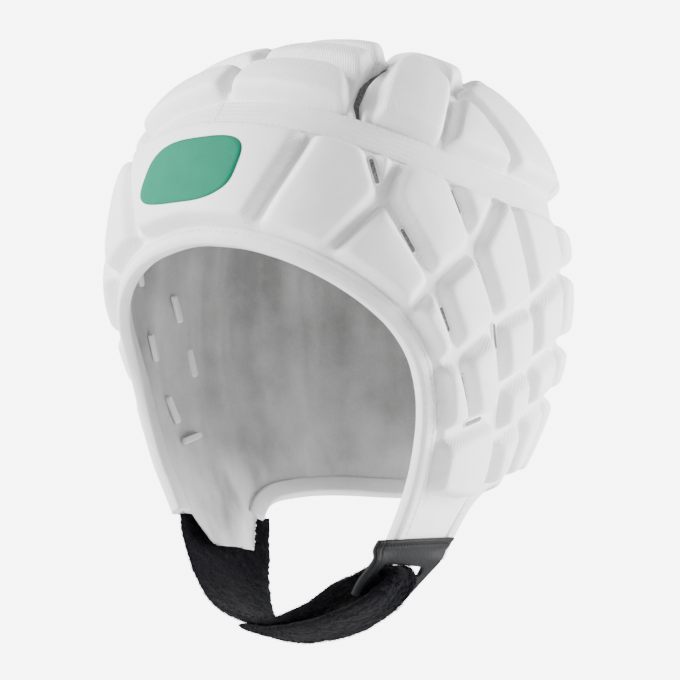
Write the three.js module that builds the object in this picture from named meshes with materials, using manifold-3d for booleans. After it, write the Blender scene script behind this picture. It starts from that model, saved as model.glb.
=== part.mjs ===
// Rugby scrum cap: a padded headguard with a chin strap, in millimetres, +Z up.
// The face looks towards -Y and the wearer's left is +X.
// The origin is on the inside of the crown, where the cap sits on the head.
import * as THREE from 'three';
import Module from 'manifold-3d';
import { mergeVertices } from 'three/addons/utils/BufferGeometryUtils.js';

const wasm = await Module();
wasm.setup();

// Inside form of the cap
const insideHalfWidth = 79;
const insideFront = 92;
const insideBack = 96;
const insideHeight = 205;
const crownToRim = 265;
const roundness = 2.25;

// Thickness of the layers, from the head outwards
const liningThickness = 1.0;
const layerGap = 0.3;
const shellThickness = 2.2;
const padHeight = 8.2;
const crownPadHeight = 9.6;

// Channels, seams and slits
const channelWidth = 4.6;
const padShoulder = 2;
const padShoulderShare = 0.84;
const padDome = 30;
const tapeMargin = 0.8;
const rimMargin = 1;
const seamMargin = 3.2;
const longestFacet = 21;
const panelGap = 0.5;
const seamGap = 0.6;
const slitWidth = 4.5;
const ventLength = 10;
const ventWidth = 2;

// Tapes and bindings
const tapeWidth = 12.5;
const tapeThickness = 1.4;
const bindingWidth = 8;
const bindingThickness = 5.2;

// Chin strap and its tab
const strapThickness = 2.8;
const tabThickness = 2;
const slotLength = 28;
const slotHeight = 4.2;
const strapRootDown = 242;

// Sections of the inside form, from the crown to the ends of the flaps: each
// length is a share of the size named beside it
const SECTIONS = [
  // down: crownToRim, drop: insideHeight, side: insideHalfWidth,
  // front: insideFront, back: insideBack, drawIn: how far the rear is drawn in
  { down: 0, drop: 0, side: 0, front: 0, back: 0, drawIn: 0 },
  { down: 0.113, drop: 0.015, side: 0.367, front: 0.326, back: 0.302, drawIn: 0 },
  { down: 0.226, drop: 0.073, side: 0.684, front: 0.641, back: 0.604, drawIn: 0 },
  { down: 0.340, drop: 0.185, side: 0.899, front: 0.870, back: 0.865, drawIn: 0 },
  { down: 0.453, drop: 0.322, side: 0.981, front: 0.967, back: 0.979, drawIn: 0 },
  { down: 0.566, drop: 0.468, side: 1.000, front: 1.000, back: 1.000, drawIn: 0 },
  { down: 0.679, drop: 0.615, side: 0.975, front: 1.000, back: 0.927, drawIn: 0.037 },
  { down: 0.792, drop: 0.756, side: 0.886, front: 0.967, back: 0.813, drawIn: 0.147 },
  { down: 0.906, drop: 0.893, side: 0.722, front: 0.891, back: 0.719, drawIn: 0.313 },
  { down: 1.000, drop: 1.000, side: 0.580, front: 0.804, back: 0.656, drawIn: 0.423 },
  { down: 1.040, drop: 1.046, side: 0.522, front: 0.767, back: 0.629, drawIn: 0.470 },
];

// Middle line of the face binding, from the forehead to the end of a flap:
// degrees around from the front, and share of crownToRim down from the crown
const FACE_EDGE = [
  { around: 0, down: 0.506 },
  { around: 8.5, down: 0.511 },
  { around: 17, down: 0.521 },
  { around: 27, down: 0.542 },
  { around: 36.5, down: 0.570 },
  { around: 46, down: 0.606 },
  { around: 53.5, down: 0.643 },
  { around: 59, down: 0.687 },
  { around: 61.8, down: 0.736 },
  { around: 62.8, down: 0.783 },
  { around: 62.8, down: 0.828 },
  { around: 62.3, down: 0.875 },
  { around: 60.5, down: 0.925 },
  { around: 57.5, down: 0.975 },
  { around: 55, down: 1.010 },
];

// Middle line of the rear binding, from the end of a flap to the nape
const REAR_EDGE = [
  { around: 98, down: 1.000 },
  { around: 99.5, down: 0.945 },
  { around: 102, down: 0.911 },
  { around: 106, down: 0.887 },
  { around: 113, down: 0.864 },
  { around: 122, down: 0.853 },
  { around: 131, down: 0.847 },
  { around: 142, down: 0.846 },
  { around: 160, down: 0.851 },
  { around: 180, down: 0.853 },
];

// Middle line of the tape round the head, over the seam under the crown
const TAPE_LINE = [
  { around: 0, down: 0.303 },
  { around: 18, down: 0.316 },
  { around: 33, down: 0.336 },
  { around: 45, down: 0.357 },
  { around: 60, down: 0.382 },
  { around: 80, down: 0.405 },
  { around: 100, down: 0.416 },
  { around: 134, down: 0.426 },
  { around: 180, down: 0.430 },
];

// Points where channels, seams and edges meet, on the wearer's left: degrees
// around from the front, share of crownToRim down. A point on the tape's
// middle line has no share of its own. Rim marks those under a binding, and
// seam those on a seam between petals.
const POINTS = {
  frontMiddle: { around: 0 },
  foreheadSide: { around: 17 },
  foreheadTop: { around: 33 },
  frontSeamEnd: { around: 44 },
  templeTop: { around: 55 },
  earFrontTop: { around: 66 },
  earMiddleTop: { around: 79 },
  earTop: { around: 92 },
  crownSideEnd: { around: 101 },
  rearTop: { around: 118 },
  rearSeamEnd: { around: 133 },
  backTop: { around: 144 },
  napeTop: { around: 161 },
  rearMiddleTop: { around: 180 },

  lowMiddle: { around: 0, down: 0.512, rim: true },
  foreheadLow: { around: 15.5, down: 0.525, rim: true },
  wingLow: { around: 32, down: 0.563, rim: true },
  templeMeet: { around: 48.5, down: 0.460 },
  templeLow: { around: 52, down: 0.648, rim: true },
  earFrontMeet: { around: 62, down: 0.581 },
  earFrontLow: { around: 59.5, down: 0.713, rim: true },
  earMeet: { around: 76, down: 0.519 },
  earCentre: { around: 70.5, down: 0.685 },
  earRear: { around: 86, down: 0.628 },
  cheekFront: { around: 61.5, down: 0.818, rim: true },
  cheekMeet: { around: 78.5, down: 0.783 },
  cheekRear: { around: 91, down: 0.725 },
  cheekPoint: { around: 93, down: 0.758 },
  cheekLow: { around: 76, down: 0.905 },
  cheekEnd: { around: 94, down: 0.898 },
  jawMeet: { around: 95, down: 0.800 },
  jawSide: { around: 100.5, down: 0.860 },
  jawLow: { around: 104.5, down: 0.893, rim: true },
  sideTop: { around: 104, down: 0.585 },
  sideMiddle: { around: 106.5, down: 0.677 },
  sideLow: { around: 110, down: 0.751 },
  sideEnd: { around: 114, down: 0.867, rim: true },
  rearUpper: { around: 124, down: 0.521 },
  rearMiddle: { around: 124, down: 0.632 },
  rearLow: { around: 125, down: 0.709 },
  rearEnd: { around: 127, down: 0.856, rim: true },
  backUpper: { around: 142, down: 0.513 },
  backMiddle: { around: 142, down: 0.615 },
  backLow: { around: 143, down: 0.694 },
  backEnd: { around: 144, down: 0.853, rim: true },
  napeUpper: { around: 161, down: 0.506 },
  napeMiddle: { around: 161, down: 0.604 },
  napeLow: { around: 161.5, down: 0.683 },
  napeEnd: { around: 162, down: 0.857, rim: true },
  middleUpper: { around: 180, down: 0.502 },
  middleCentre: { around: 180, down: 0.600 },
  middleLow: { around: 180, down: 0.679 },
  middleEnd: { around: 180, down: 0.859, rim: true },

  flapFront: { around: 61, down: 0.895, rim: true },
  flapFrontLow: { around: 58.5, down: 0.955, rim: true },
  flapMiddle: { around: 77, down: 0.955 },
  flapMiddleRear: { around: 91, down: 0.955 },
  flapRear: { around: 101.5, down: 0.955, rim: true },
  tipFront: { around: 55, down: 1.010, rim: true },
  tipMiddle: { around: 75, down: 1.006, rim: true },
  tipMiddleRear: { around: 89, down: 1.002, rim: true },
  tipRear: { around: 99, down: 1.000, rim: true },

  crownMiddle: { around: 180, down: 0.055 },
  frontRowLow: { around: 0, down: 0.203 },
  frontRowMiddle: { around: 0, down: 0.115 },
  frontRowHigh: { around: 0, down: 0.030 },
  backRowLow: { around: 180, down: 0.345 },
  backRowMiddle: { around: 180, down: 0.250 },
  backRowHigh: { around: 180, down: 0.155 },
  frontSeamLow: { around: 43.5, down: 0.298, seam: true },
  frontSeamWide: { around: 47, down: 0.252, seam: true },
  frontSeamHigh: { around: 58.5, down: 0.194, seam: true },
  frontSeamTop: { around: 82.5, down: 0.120, seam: true },
  frontSeamIn: { around: 129, down: 0.060, seam: true },
  rearSeamLow: { around: 133, down: 0.352, seam: true },
  rearSeamWide: { around: 134, down: 0.275, seam: true },
  rearSeamHigh: { around: 138, down: 0.174, seam: true },
  petalMeet: { around: 84, down: 0.262 },
  petalRear: { around: 113, down: 0.215 },
};

// Cells of one side, each a pad inside the channels between the points named
const SIDE_PADS = [
  ['foreheadTop', 'frontSeamEnd', 'templeMeet', 'wingLow', 'foreheadLow'],
  ['templeMeet', 'earFrontMeet', 'templeLow', 'wingLow'],
  ['frontSeamEnd', 'templeTop', 'templeMeet'],
  ['templeTop', 'earFrontTop', 'earMeet', 'earFrontMeet', 'templeMeet'],
  ['earFrontTop', 'earTop', 'earMeet'],
  ['earMeet', 'earTop', 'sideTop', 'earRear'],
  ['earFrontMeet', 'earMeet', 'earRear', 'earCentre'],
  ['earFrontMeet', 'earCentre', 'earFrontLow', 'templeLow'],
  ['earCentre', 'cheekMeet', 'cheekFront', 'earFrontLow'],
  ['earCentre', 'earRear', 'cheekRear', 'cheekPoint', 'cheekMeet'],
  ['cheekMeet', 'cheekPoint', 'jawMeet', 'jawSide', 'cheekEnd', 'cheekLow', 'flapFront', 'cheekFront'],
  ['earRear', 'sideTop', 'sideMiddle', 'cheekRear'],
  ['cheekRear', 'sideMiddle', 'sideLow', 'jawMeet', 'cheekPoint'],
  ['jawMeet', 'sideLow', 'sideEnd', 'jawLow', 'jawSide'],
  ['earTop', 'rearTop', 'rearUpper', 'sideTop'],
  ['sideTop', 'rearUpper', 'rearMiddle', 'sideMiddle'],
  ['sideMiddle', 'rearMiddle', 'rearLow', 'sideLow'],
  ['sideLow', 'rearLow', 'rearEnd', 'sideEnd'],
  ['rearTop', 'backTop', 'backUpper', 'rearUpper'],
  ['rearUpper', 'backUpper', 'backMiddle', 'rearMiddle'],
  ['rearMiddle', 'backMiddle', 'backLow', 'rearLow'],
  ['rearLow', 'backLow', 'backEnd', 'rearEnd'],
  ['backTop', 'napeTop', 'napeUpper', 'backUpper'],
  ['backUpper', 'napeUpper', 'napeMiddle', 'backMiddle'],
  ['backMiddle', 'napeMiddle', 'napeLow', 'backLow'],
  ['backLow', 'napeLow', 'napeEnd', 'backEnd'],
  ['napeTop', 'rearMiddleTop', 'middleUpper', 'napeUpper'],
  ['napeUpper', 'middleUpper', 'middleCentre', 'napeMiddle'],
  ['napeMiddle', 'middleCentre', 'middleLow', 'napeLow'],
  ['napeLow', 'middleLow', 'middleEnd', 'napeEnd'],
];

// Cells of the flap's end, which has no foam
const FLAP_CELLS = [
  ['flapFront', 'cheekLow', 'flapMiddle', 'flapFrontLow'],
  ['cheekLow', 'cheekEnd', 'flapMiddleRear', 'flapMiddle'],
  ['cheekEnd', 'jawSide', 'jawLow', 'flapRear', 'flapMiddleRear'],
  ['flapFrontLow', 'flapMiddle', 'tipMiddle', 'tipFront'],
  ['flapMiddle', 'flapMiddleRear', 'tipMiddleRear', 'tipMiddle'],
  ['flapMiddleRear', 'flapRear', 'tipRear', 'tipMiddleRear'],
];

// Cells of the crown's petals, on the wearer's left half
const CROWN_PADS = {
  front: [
    ['frontMiddle', 'frontRowLow', 'frontSeamWide', 'frontSeamLow', 'frontSeamEnd'],
    ['frontRowLow', 'frontRowMiddle', 'frontSeamHigh', 'frontSeamWide'],
    ['frontRowMiddle', 'frontRowHigh', 'frontSeamTop', 'frontSeamHigh'],
    ['frontRowHigh', 'crownMiddle', 'frontSeamIn', 'frontSeamTop'],
  ],
  side: [
    ['frontSeamEnd', 'frontSeamLow', 'frontSeamWide', 'frontSeamHigh', 'frontSeamTop', 'petalMeet',
      'earFrontTop'],
    ['earFrontTop', 'petalMeet', 'crownSideEnd'],
    ['petalMeet', 'petalRear', 'rearSeamWide', 'rearSeamLow', 'rearSeamEnd', 'crownSideEnd'],
    ['frontSeamTop', 'petalRear', 'petalMeet'],
    ['frontSeamTop', 'frontSeamIn', 'crownMiddle', 'rearSeamHigh', 'petalRear'],
    ['petalRear', 'rearSeamHigh', 'rearSeamWide'],
  ],
  back: [
    ['rearMiddleTop', 'rearSeamEnd', 'rearSeamLow', 'backRowLow'],
    ['backRowLow', 'rearSeamLow', 'rearSeamWide', 'backRowMiddle'],
    ['backRowMiddle', 'rearSeamWide', 'rearSeamHigh', 'backRowHigh'],
    ['backRowHigh', 'rearSeamHigh', 'crownMiddle'],
  ],
};

// Seams between the petals, from the crown's middle to the tape, and the share
// of slitWidth by which each gapes at its points
const FRONT_SEAM = [
  { point: 'crownMiddle', open: 0 },
  { point: 'frontSeamIn', open: 0 },
  { point: 'frontSeamTop', open: 0 },
  { point: 'frontSeamHigh', open: 0.7 },
  { point: 'frontSeamWide', open: 1 },
  { point: 'frontSeamLow', open: 0.9 },
  { point: 'frontSeamEnd', open: 0 },
];
const REAR_SEAM = [
  { point: 'crownMiddle', open: 0 },
  { point: 'rearSeamHigh', open: 0 },
  { point: 'rearSeamWide', open: 0.6 },
  { point: 'rearSeamLow', open: 0.8 },
  { point: 'rearSeamEnd', open: 0 },
];

// Vents, each along a channel between the two points named, at a share of the
// way from the first to the second
const VENTS = [
  ['frontSeamEnd', 'templeMeet', 0.6],
  ['templeMeet', 'earFrontMeet', 0.5],
  ['earFrontTop', 'earMeet', 0.5],
  ['earFrontMeet', 'earCentre', 0.5],
  ['earMeet', 'earRear', 0.4],
  ['earRear', 'cheekRear', 0.2],
  ['earCentre', 'cheekMeet', 0.48],
  ['cheekMeet', 'cheekPoint', 0.2],
];

// Chin strap from its root under the right flap to the left tab: middle of the
// strap, its width, and how its width leans outwards (toe) and down (dip)
const strapHang = 50;
const strapReach = 58;
const strapForward = 30;
const STRAP = [
  // across: strapReach, along: strapForward, drop: strapHang
  { across: -1, along: -0.14, drop: 0, width: 49, toe: 0.2, dip: 0 },
  { across: -0.955, along: -0.22, drop: 0.24, width: 47, toe: 0.18, dip: 0 },
  { across: -0.835, along: -0.39, drop: 0.54, width: 42, toe: 0.12, dip: -0.04 },
  { across: -0.63, along: -0.63, drop: 0.79, width: 37, toe: 0.06, dip: -0.1 },
  { across: -0.33, along: -0.87, drop: 0.94, width: 34, toe: 0, dip: -0.15 },
  { across: 0, along: -1, drop: 0.98, width: 33, toe: 0, dip: -0.16 },
  { across: 0.3, along: -1.01, drop: 0.87, width: 31, toe: 0, dip: -0.14 },
  { across: 0.53, along: -1.02, drop: 0.7, width: 27, toe: 0, dip: -0.08 },
  { across: 0.67, along: -0.99, drop: 0.615, width: 22.5, toe: -0.05, dip: -0.03 },
];

// The strap's last stretch: up behind the tab, out through its slot, and the
// free tail folded down over the outside of the loop
const STRAP_FOLD = [
  { across: 0.745, along: -0.93, drop: 0.565, width: 19.5, toe: -0.05, dip: 0 },
  { across: 0.815, along: -0.87, drop: 0.543, width: 18.5, toe: -0.05, dip: 0 },
  { across: 0.88, along: -0.87, drop: 0.545, width: 18.5, toe: -0.05, dip: 0 },
  { across: 0.91, along: -0.87, drop: 0.6, width: 19, toe: -0.05, dip: 0 },
  { across: 0.895, along: -0.9, drop: 0.66, width: 20.5, toe: -0.05, dip: 0 },
  { across: 0.845, along: -0.95, drop: 0.735, width: 23, toe: 0, dip: -0.03 },
  { across: 0.73, along: -1, drop: 0.84, width: 26.5, toe: 0, dip: -0.08 },
  { across: 0.4, along: -1.02, drop: 0.985, width: 30, toe: 0, dip: -0.14 },
  { across: 0, along: -1.03, drop: 1.07, width: 30, toe: 0, dip: -0.16 },
  { across: -0.28, along: -1, drop: 1.04, width: 30, toe: 0, dip: -0.15 },
];
const strapRootBulge = 6.5;

// Tab on the left flap, from its sewn top edge to its bottom edge: front and
// rear are shares of strapForward, their drops of strapHang, and across of
// strapReach. The first rows have no across: they lie on the flap's outside.
const TAB = [
  { front: -1.43, rear: 0.34, frontDrop: 0.346, rearDrop: 0.264 },
  { front: -1.45, rear: 0.24, frontDrop: 0.42, rearDrop: 0.35 },
  { front: -1.47, rear: 0.08, frontDrop: 0.5, rearDrop: 0.45, across: 0.932 },
  { front: -1.49, rear: -0.09, frontDrop: 0.59, rearDrop: 0.57, across: 0.842 },
  { front: -1.5, rear: -0.24, frontDrop: 0.68, rearDrop: 0.7, across: 0.774 },
  { front: -1.5, rear: -0.385, frontDrop: 0.77, rearDrop: 0.812, across: 0.725 },
];
const slotAlong = -0.76;
const slotDrop = 0.56;
const slotAcross = 0.837;

// Heights of the layers above the inside form
const shellInner = liningThickness + layerGap;
const shellOuter = shellInner + shellThickness;
const tapeLow = shellOuter - 0.5;
const bindingLow = -0.8;
const bindingHigh = bindingLow + bindingThickness;
const tabLevel = bindingHigh + 2 * layerGap + tabThickness / 2;

const DEGREE = Math.PI / 180;
const lerp = (a, b, t) => a + (b - a) * t;
const distance = (a, b) => Math.hypot(a.x - b.x, a.y - b.y, (a.z ?? 0) - (b.z ?? 0));

// Smooth value of a table's column at a position along its key column
function readTable(rows, key, column, position) {
  const last = rows.length - 1;
  let i = 0;
  while (i < last - 1 && position >= rows[i + 1][key]) i += 1;
  const slope = (j) => {
    const a = rows[Math.max(j - 1, 0)];
    const b = rows[Math.min(j + 1, last)];
    return (b[column] - a[column]) / (b[key] - a[key]);
  };
  const span = rows[i + 1][key] - rows[i][key];
  const t = (position - rows[i][key]) / span;
  const start = rows[i][column];
  const end = rows[i + 1][column];
  return (2 * t ** 3 - 3 * t ** 2 + 1) * start + (t ** 3 - 2 * t ** 2 + t) * span * slope(i)
    + (3 * t ** 2 - 2 * t ** 3) * end + (t ** 3 - t ** 2) * span * slope(i + 1);
}

// The sections mirrored over the crown, so that the form is smooth there
const MIRRORED = SECTIONS.slice(1, 3).reverse().map((row) => ({
  down: -row.down, drop: row.drop, side: -row.side, front: -row.front, back: -row.back, drawIn: 0,
}));
const FORM = [...MIRRORED, ...SECTIONS];

// Point of the inside form, degrees around from the front and a share down
function formPoint(around, down) {
  const angle = around * DEGREE;
  const side = Math.max(readTable(FORM, 'down', 'side', down) * insideHalfWidth, 1e-6);
  const forward = Math.cos(angle) > 0;
  const reach = forward
    ? readTable(FORM, 'down', 'front', down) * insideFront
    : readTable(FORM, 'down', 'back', down) * insideBack;
  const alongShare = Math.abs(Math.cos(angle) / Math.max(reach, 1e-6)) ** roundness;
  const radius = (Math.abs(Math.sin(angle) / side) ** roundness + alongShare) ** (-1 / roundness);
  const draw = readTable(FORM, 'down', 'drawIn', down) * radius * Math.cos(angle) / insideFront;
  const z = -readTable(FORM, 'down', 'drop', down) * insideHeight;
  return new THREE.Vector3(radius * Math.sin(angle) * (1 + draw), -radius * Math.cos(angle), z);
}

// Outward direction of the form at a point
function formNormal(around, down) {
  const step = 0.0004;
  const turn = 0.1;
  const place = Math.max(down, 2 * step);
  const sideways = formPoint(around + turn, place).sub(formPoint(around - turn, place));
  const downwards = formPoint(around, place + step).sub(formPoint(around, place - step));
  return downwards.cross(sideways).normalize();
}

// Point at a height above the inside form
function layerPoint(around, down, level) {
  if (down === 0) return new THREE.Vector3(0, 0, level);
  return formPoint(around, down).addScaledVector(formNormal(around, down), level);
}

// The place on the left flap that lies at a position along and a height
function flapPlace(y, z) {
  let near = 0.3;
  let far = SECTIONS[SECTIONS.length - 1].down;
  for (let i = 0; i < 30; i += 1) {
    const middle = (near + far) / 2;
    if (-readTable(FORM, 'down', 'drop', middle) * insideHeight > z) near = middle;
    else far = middle;
  }
  let low = 0;
  let high = 180;
  for (let i = 0; i < 30; i += 1) {
    const middle = (low + high) / 2;
    if (formPoint(middle, near).y < y) low = middle;
    else high = middle;
  }
  return { around: low, down: near };
}

// A closed solid from points and triangles
function solidOf(points, triangles) {
  const vertProperties = new Float32Array(points.flatMap((p) => [p.x, p.y, p.z]));
  const triVerts = new Uint32Array(triangles.flat());
  return new wasm.Manifold(new wasm.Mesh({ numProp: 3, vertProperties, triVerts }));
}

// A closed solid from a three.js geometry
function solidOfGeometry(geometry) {
  geometry.deleteAttribute('normal');
  geometry.deleteAttribute('uv');
  const merged = mergeVertices(geometry, 1e-4);
  const mesh = { numProp: 3, vertProperties: merged.attributes.position.array };
  return new wasm.Manifold(new wasm.Mesh({ ...mesh, triVerts: new Uint32Array(merged.index.array) }));
}

function geometryOf(solid) {
  const mesh = solid.getMesh();
  const geometry = new THREE.BufferGeometry();
  geometry.setAttribute('position', new THREE.BufferAttribute(mesh.vertProperties, 3));
  geometry.setIndex(new THREE.BufferAttribute(mesh.triVerts, 1));
  return geometry;
}

// Closed rings of equal length joined into a solid with flat ends
function loft(rings) {
  const count = rings[0].length;
  const points = rings.flat();
  const triangles = [];
  for (let i = 0; i < rings.length - 1; i += 1) {
    for (let j = 0; j < count; j += 1) {
      const a = i * count + j;
      const b = i * count + (j + 1) % count;
      triangles.push([a, b, b + count], [a, b + count, a + count]);
    }
  }
  const lastRing = (rings.length - 1) * count;
  for (let j = 1; j < count - 1; j += 1) {
    triangles.push([0, j + 1, j], [lastRing, lastRing + j, lastRing + j + 1]);
  }
  return outward(points, triangles);
}

// The same solid with its faces turned out where they point in
function outward(points, triangles) {
  let volume = 0;
  for (const [a, b, c] of triangles) {
    volume += points[a].dot(points[b].clone().cross(points[c]));
  }
  if (volume < 0) return solidOf(points, triangles.map(([a, b, c]) => [a, c, b]));
  return solidOf(points, triangles);
}

// Evenly spaced places along a table of places, smoothly joined
function smoothPlaces(rows, steps) {
  const ends = rows.map((row) => new THREE.Vector3(row.around, row.down * 100, 0));
  const curve = new THREE.CatmullRomCurve3(ends);
  return curve.getPoints(steps).map((p) => ({ around: p.x, down: p.y / 100 }));
}

// A strip that follows places on the form, with its edges at both sides
function strip(places, width, low, high, closed) {
  const middle = (low + high) / 2;
  const centres = places.map((p) => layerPoint(p.around, p.down, middle));
  const count = places.length;
  const rings = places.map((place, i) => {
    const before = centres[closed ? (i + count - 1) % count : Math.max(i - 1, 0)];
    const after = centres[closed ? (i + 1) % count : Math.min(i + 1, count - 1)];
    const along = after.clone().sub(before).normalize();
    const up = formNormal(place.around, place.down);
    const across = along.clone().cross(up).normalize();
    const half = width / 2;
    const section = [[-half, low], [half, low], [half, high], [-half, high]];
    return section.map(([side, level]) => centres[i].clone()
      .addScaledVector(up, level - middle).addScaledVector(across, side));
  });
  return closed ? ringLoft(rings) : loft(rings);
}

// Rings joined one after another and the last one to the first
function ringLoft(rings) {
  const count = rings[0].length;
  const triangles = [];
  for (let i = 0; i < rings.length; i += 1) {
    const next = (i + 1) % rings.length;
    for (let j = 0; j < count; j += 1) {
      const k = (j + 1) % count;
      triangles.push([i * count + j, i * count + k, next * count + k]);
      triangles.push([i * count + j, next * count + k, next * count + j]);
    }
  }
  return outward(rings.flat(), triangles);
}

// How far down the tape's middle line is
const tapeDown = (around) => {
  const turned = Math.abs(((around + 180) % 360 + 360) % 360 - 180);
  return readTable(TAPE_LINE, 'around', 'down', turned);
};
const tapeDegrees = Object.values(POINTS).filter((p) => p.down === undefined).map((p) => p.around);

// Place of a named point on one side, with what it lies on
function placeOf(name, side) {
  const { around, down, rim, seam } = POINTS[name];
  const middle = around === 0 || around === 180;
  return {
    around: middle ? around : side * around,
    down: down ?? tapeDown(around),
    tape: down === undefined,
    rim: rim === true,
    seam: seam === true || name === 'crownMiddle' || name.endsWith('SeamEnd'),
  };
}

// A place on a plane where the crown's middle is the centre
const flatten = (place) => {
  const angle = place.around * DEGREE;
  return [place.down * Math.sin(angle), -place.down * Math.cos(angle)];
};

// Places along one edge of a cell, from its first point up to its second
function edgePlaces(a, b, onCrown) {
  if (a.tape && b.tape) {
    const from = Math.abs(a.around);
    const to = Math.abs(b.around);
    const side = Math.sign([a, b].find((place) => Math.abs(place.around) % 180 !== 0).around);
    const turn = tapeDegrees.filter((d) => (d - from) * (d - to) < 0);
    turn.sort((x, y) => (x - y) * Math.sign(to - from));
    return [a, ...turn.map((d) => ({ around: side * d, down: tapeDown(d), tape: true }))];
  }
  const length = distance(formPoint(a.around, a.down), formPoint(b.around, b.down));
  const parts = Math.max(1, Math.round(length / longestFacet));
  const places = [a];
  for (let k = 1; k < parts; k += 1) {
    const t = k / parts;
    const place = { rim: a.rim && b.rim, seam: a.seam && b.seam };
    if (onCrown) {
      const [u, v] = flatten(a).map((value, axis) => lerp(value, flatten(b)[axis], t));
      const around = Math.abs(u) < 1e-9 ? (v > 0 ? 180 : 0) : Math.atan2(u, -v) / DEGREE;
      places.push({ ...place, around, down: Math.hypot(u, v) });
    } else {
      const around = Math.abs(a.around) === 180 ? Math.sign(b.around || 1) * 180 : a.around;
      const end = Math.abs(b.around) === 180 ? Math.sign(around || 1) * 180 : b.around;
      places.push({ ...place, around: lerp(around, end, t), down: lerp(a.down, b.down, t) });
    }
  }
  return places;
}

// How far the foot of a pad keeps from the edge of its cell
function edgeMargin(a, b) {
  if (a.tape && b.tape) return tapeWidth / 2 + tapeMargin;
  if (a.rim && b.rim) return bindingWidth / 2 + rimMargin;
  if (a.seam && b.seam) return seamMargin;
  return channelWidth / 2;
}

// An outline drawn in by its own distance at every edge
function inset(outline, amounts) {
  const count = outline.length;
  return outline.map((point, i) => {
    const before = outline[(i + count - 1) % count];
    const after = outline[(i + 1) % count];
    const inwardOf = (a, b) => {
      const length = Math.hypot(b[0] - a[0], b[1] - a[1]);
      return [-(b[1] - a[1]) / length, (b[0] - a[0]) / length];
    };
    const [ax, ay] = inwardOf(before, point);
    const [bx, by] = inwardOf(point, after);
    const first = amounts[(i + count - 1) % count];
    const second = amounts[i];
    const turn = ax * by - ay * bx;
    if (Math.abs(turn) < 0.25) {
      const amount = (first + second) / 2;
      return [point[0] + (ax + bx) / 2 * amount, point[1] + (ay + by) / 2 * amount];
    }
    return [point[0] + (first * by - second * ay) / turn, point[1] + (second * ax - first * bx) / turn];
  });
}

function signedArea(outline) {
  return outline.reduce((sum, [x, y], i) => {
    const [nextX, nextY] = outline[(i + 1) % outline.length];
    return sum + (x * nextY - nextX * y) / 2;
  }, 0);
}

// One cell measured out flat in millimetres about its middle: its border as
// seen from outside, the way back onto the form, and the margins of its edges
function measureCell(names, side, onCrown) {
  const corners = names.map(([name, turned]) => placeOf(name, turned ? -side : side));
  const border = corners.flatMap((corner, i) => {
    const next = corners[(i + 1) % corners.length];
    return edgePlaces(corner, next, onCrown);
  });
  let flat;
  let placeAt;
  if (onCrown) {
    flat = border.map((place) => flatten(place).map((value) => value * crownToRim));
    placeAt = ([x, y]) => {
      const down = Math.hypot(x, y) / crownToRim;
      return { around: Math.atan2(x, -y) / DEGREE, down };
    };
  } else {
    const rear = border.some((place) => Math.abs(place.around) > 90);
    const unwrapped = (place) => (rear && Math.abs(place.around) === 180 ? side * 180 : place.around);
    const middle = border.reduce((sum, place) => sum + unwrapped(place) / border.length, 0);
    const height = border.reduce((sum, place) => sum + place.down / border.length, 0);
    const degree = distance(formPoint(middle, height), formPoint(middle + 1, height));
    flat = border.map((place) => [
      (unwrapped(place) - middle) * degree, (height - place.down) * crownToRim,
    ]);
    placeAt = ([x, y]) => ({ around: middle + x / degree, down: height - y / crownToRim });
  }
  const area = signedArea(flat);
  const margins = border.map((place, i) => edgeMargin(place, border[(i + 1) % border.length]));
  if (area < 0) {
    const last = margins.pop();
    margins.reverse().push(last);
    border.reverse();
    flat.reverse();
  }
  return { border, flat, margins, placeAt };
}

// A panel of cells: an inner and an outer face over the cells, pads raised on
// the outer one, and walls round its free edges
function panel(cells, low, high, height) {
  const points = [];
  const keys = new Map();
  const triangles = [];
  const edges = new Map();
  const addPoint = (place, level) => points.push(layerPoint(place.around, place.down, level)) - 1;
  const shared = (place, level) => {
    const p = formPoint(place.around, place.down);
    const key = [p.x, p.y, p.z].map((value) => Math.round(value * 50)).join() + level;
    if (!keys.has(key)) keys.set(key, addPoint(place, level));
    return keys.get(key);
  };
  const bridge = (outer, inner) => outer.forEach((index, i) => {
    const next = (i + 1) % outer.length;
    triangles.push([index, outer[next], inner[next]], [index, inner[next], inner[i]]);
  });
  const fan = (ring, centre) => ring.forEach((index, i) => {
    triangles.push([index, ring[(i + 1) % ring.length], centre]);
  });
  for (const cell of cells) {
    const { border, flat, margins, placeAt } = measureCell(cell.names, cell.side, cell.onCrown);
    const outer = border.map((place) => shared(place, high));
    const inner = border.map((place) => shared(place, low));
    outer.forEach((index, i) => {
      const next = (i + 1) % outer.length;
      edges.set(`${index},${outer[next]}`, [index, outer[next], inner[i], inner[next]]);
    });
    const centre = [0, 1].map((axis) => flat.reduce((sum, p) => sum + p[axis], 0) / flat.length);
    const reach = Math.max(...flat.map((p) => Math.hypot(p[0] - centre[0], p[1] - centre[1])));
    const ringAt = (outline, level) => outline.map((p) => addPoint(placeAt(p), level));
    const towardsCentre = (outline, share) => outline.map((p) => p.map((value, axis) => (
      lerp(value, centre[axis], share))));
    const middleAt = (level) => addPoint(placeAt(centre), level);
    fan([...inner].reverse(), middleAt(low));
    if (cell.padded && height > 0) {
      const foot = inset(flat, margins);
      const shoulder = inset(flat, margins.map((margin) => margin + padShoulder));
      const footRing = ringAt(foot, high);
      const shoulderRing = ringAt(shoulder, high + padShoulderShare * height);
      bridge(outer, footRing);
      bridge(footRing, shoulderRing);
      let ring = shoulderRing;
      if (reach > padDome) {
        ring = ringAt(towardsCentre(shoulder, 0.5), high + height);
        bridge(shoulderRing, ring);
      }
      fan(ring, middleAt(high + height));
    } else {
      fan(outer, middleAt(high));
    }
  }
  for (const [key, [a, b, c, d]] of edges) {
    const [from, to] = key.split(',');
    if (!edges.has(`${to},${from}`)) triangles.push([b, a, c], [b, c, d]);
  }
  return outward(points, triangles);
}

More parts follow.
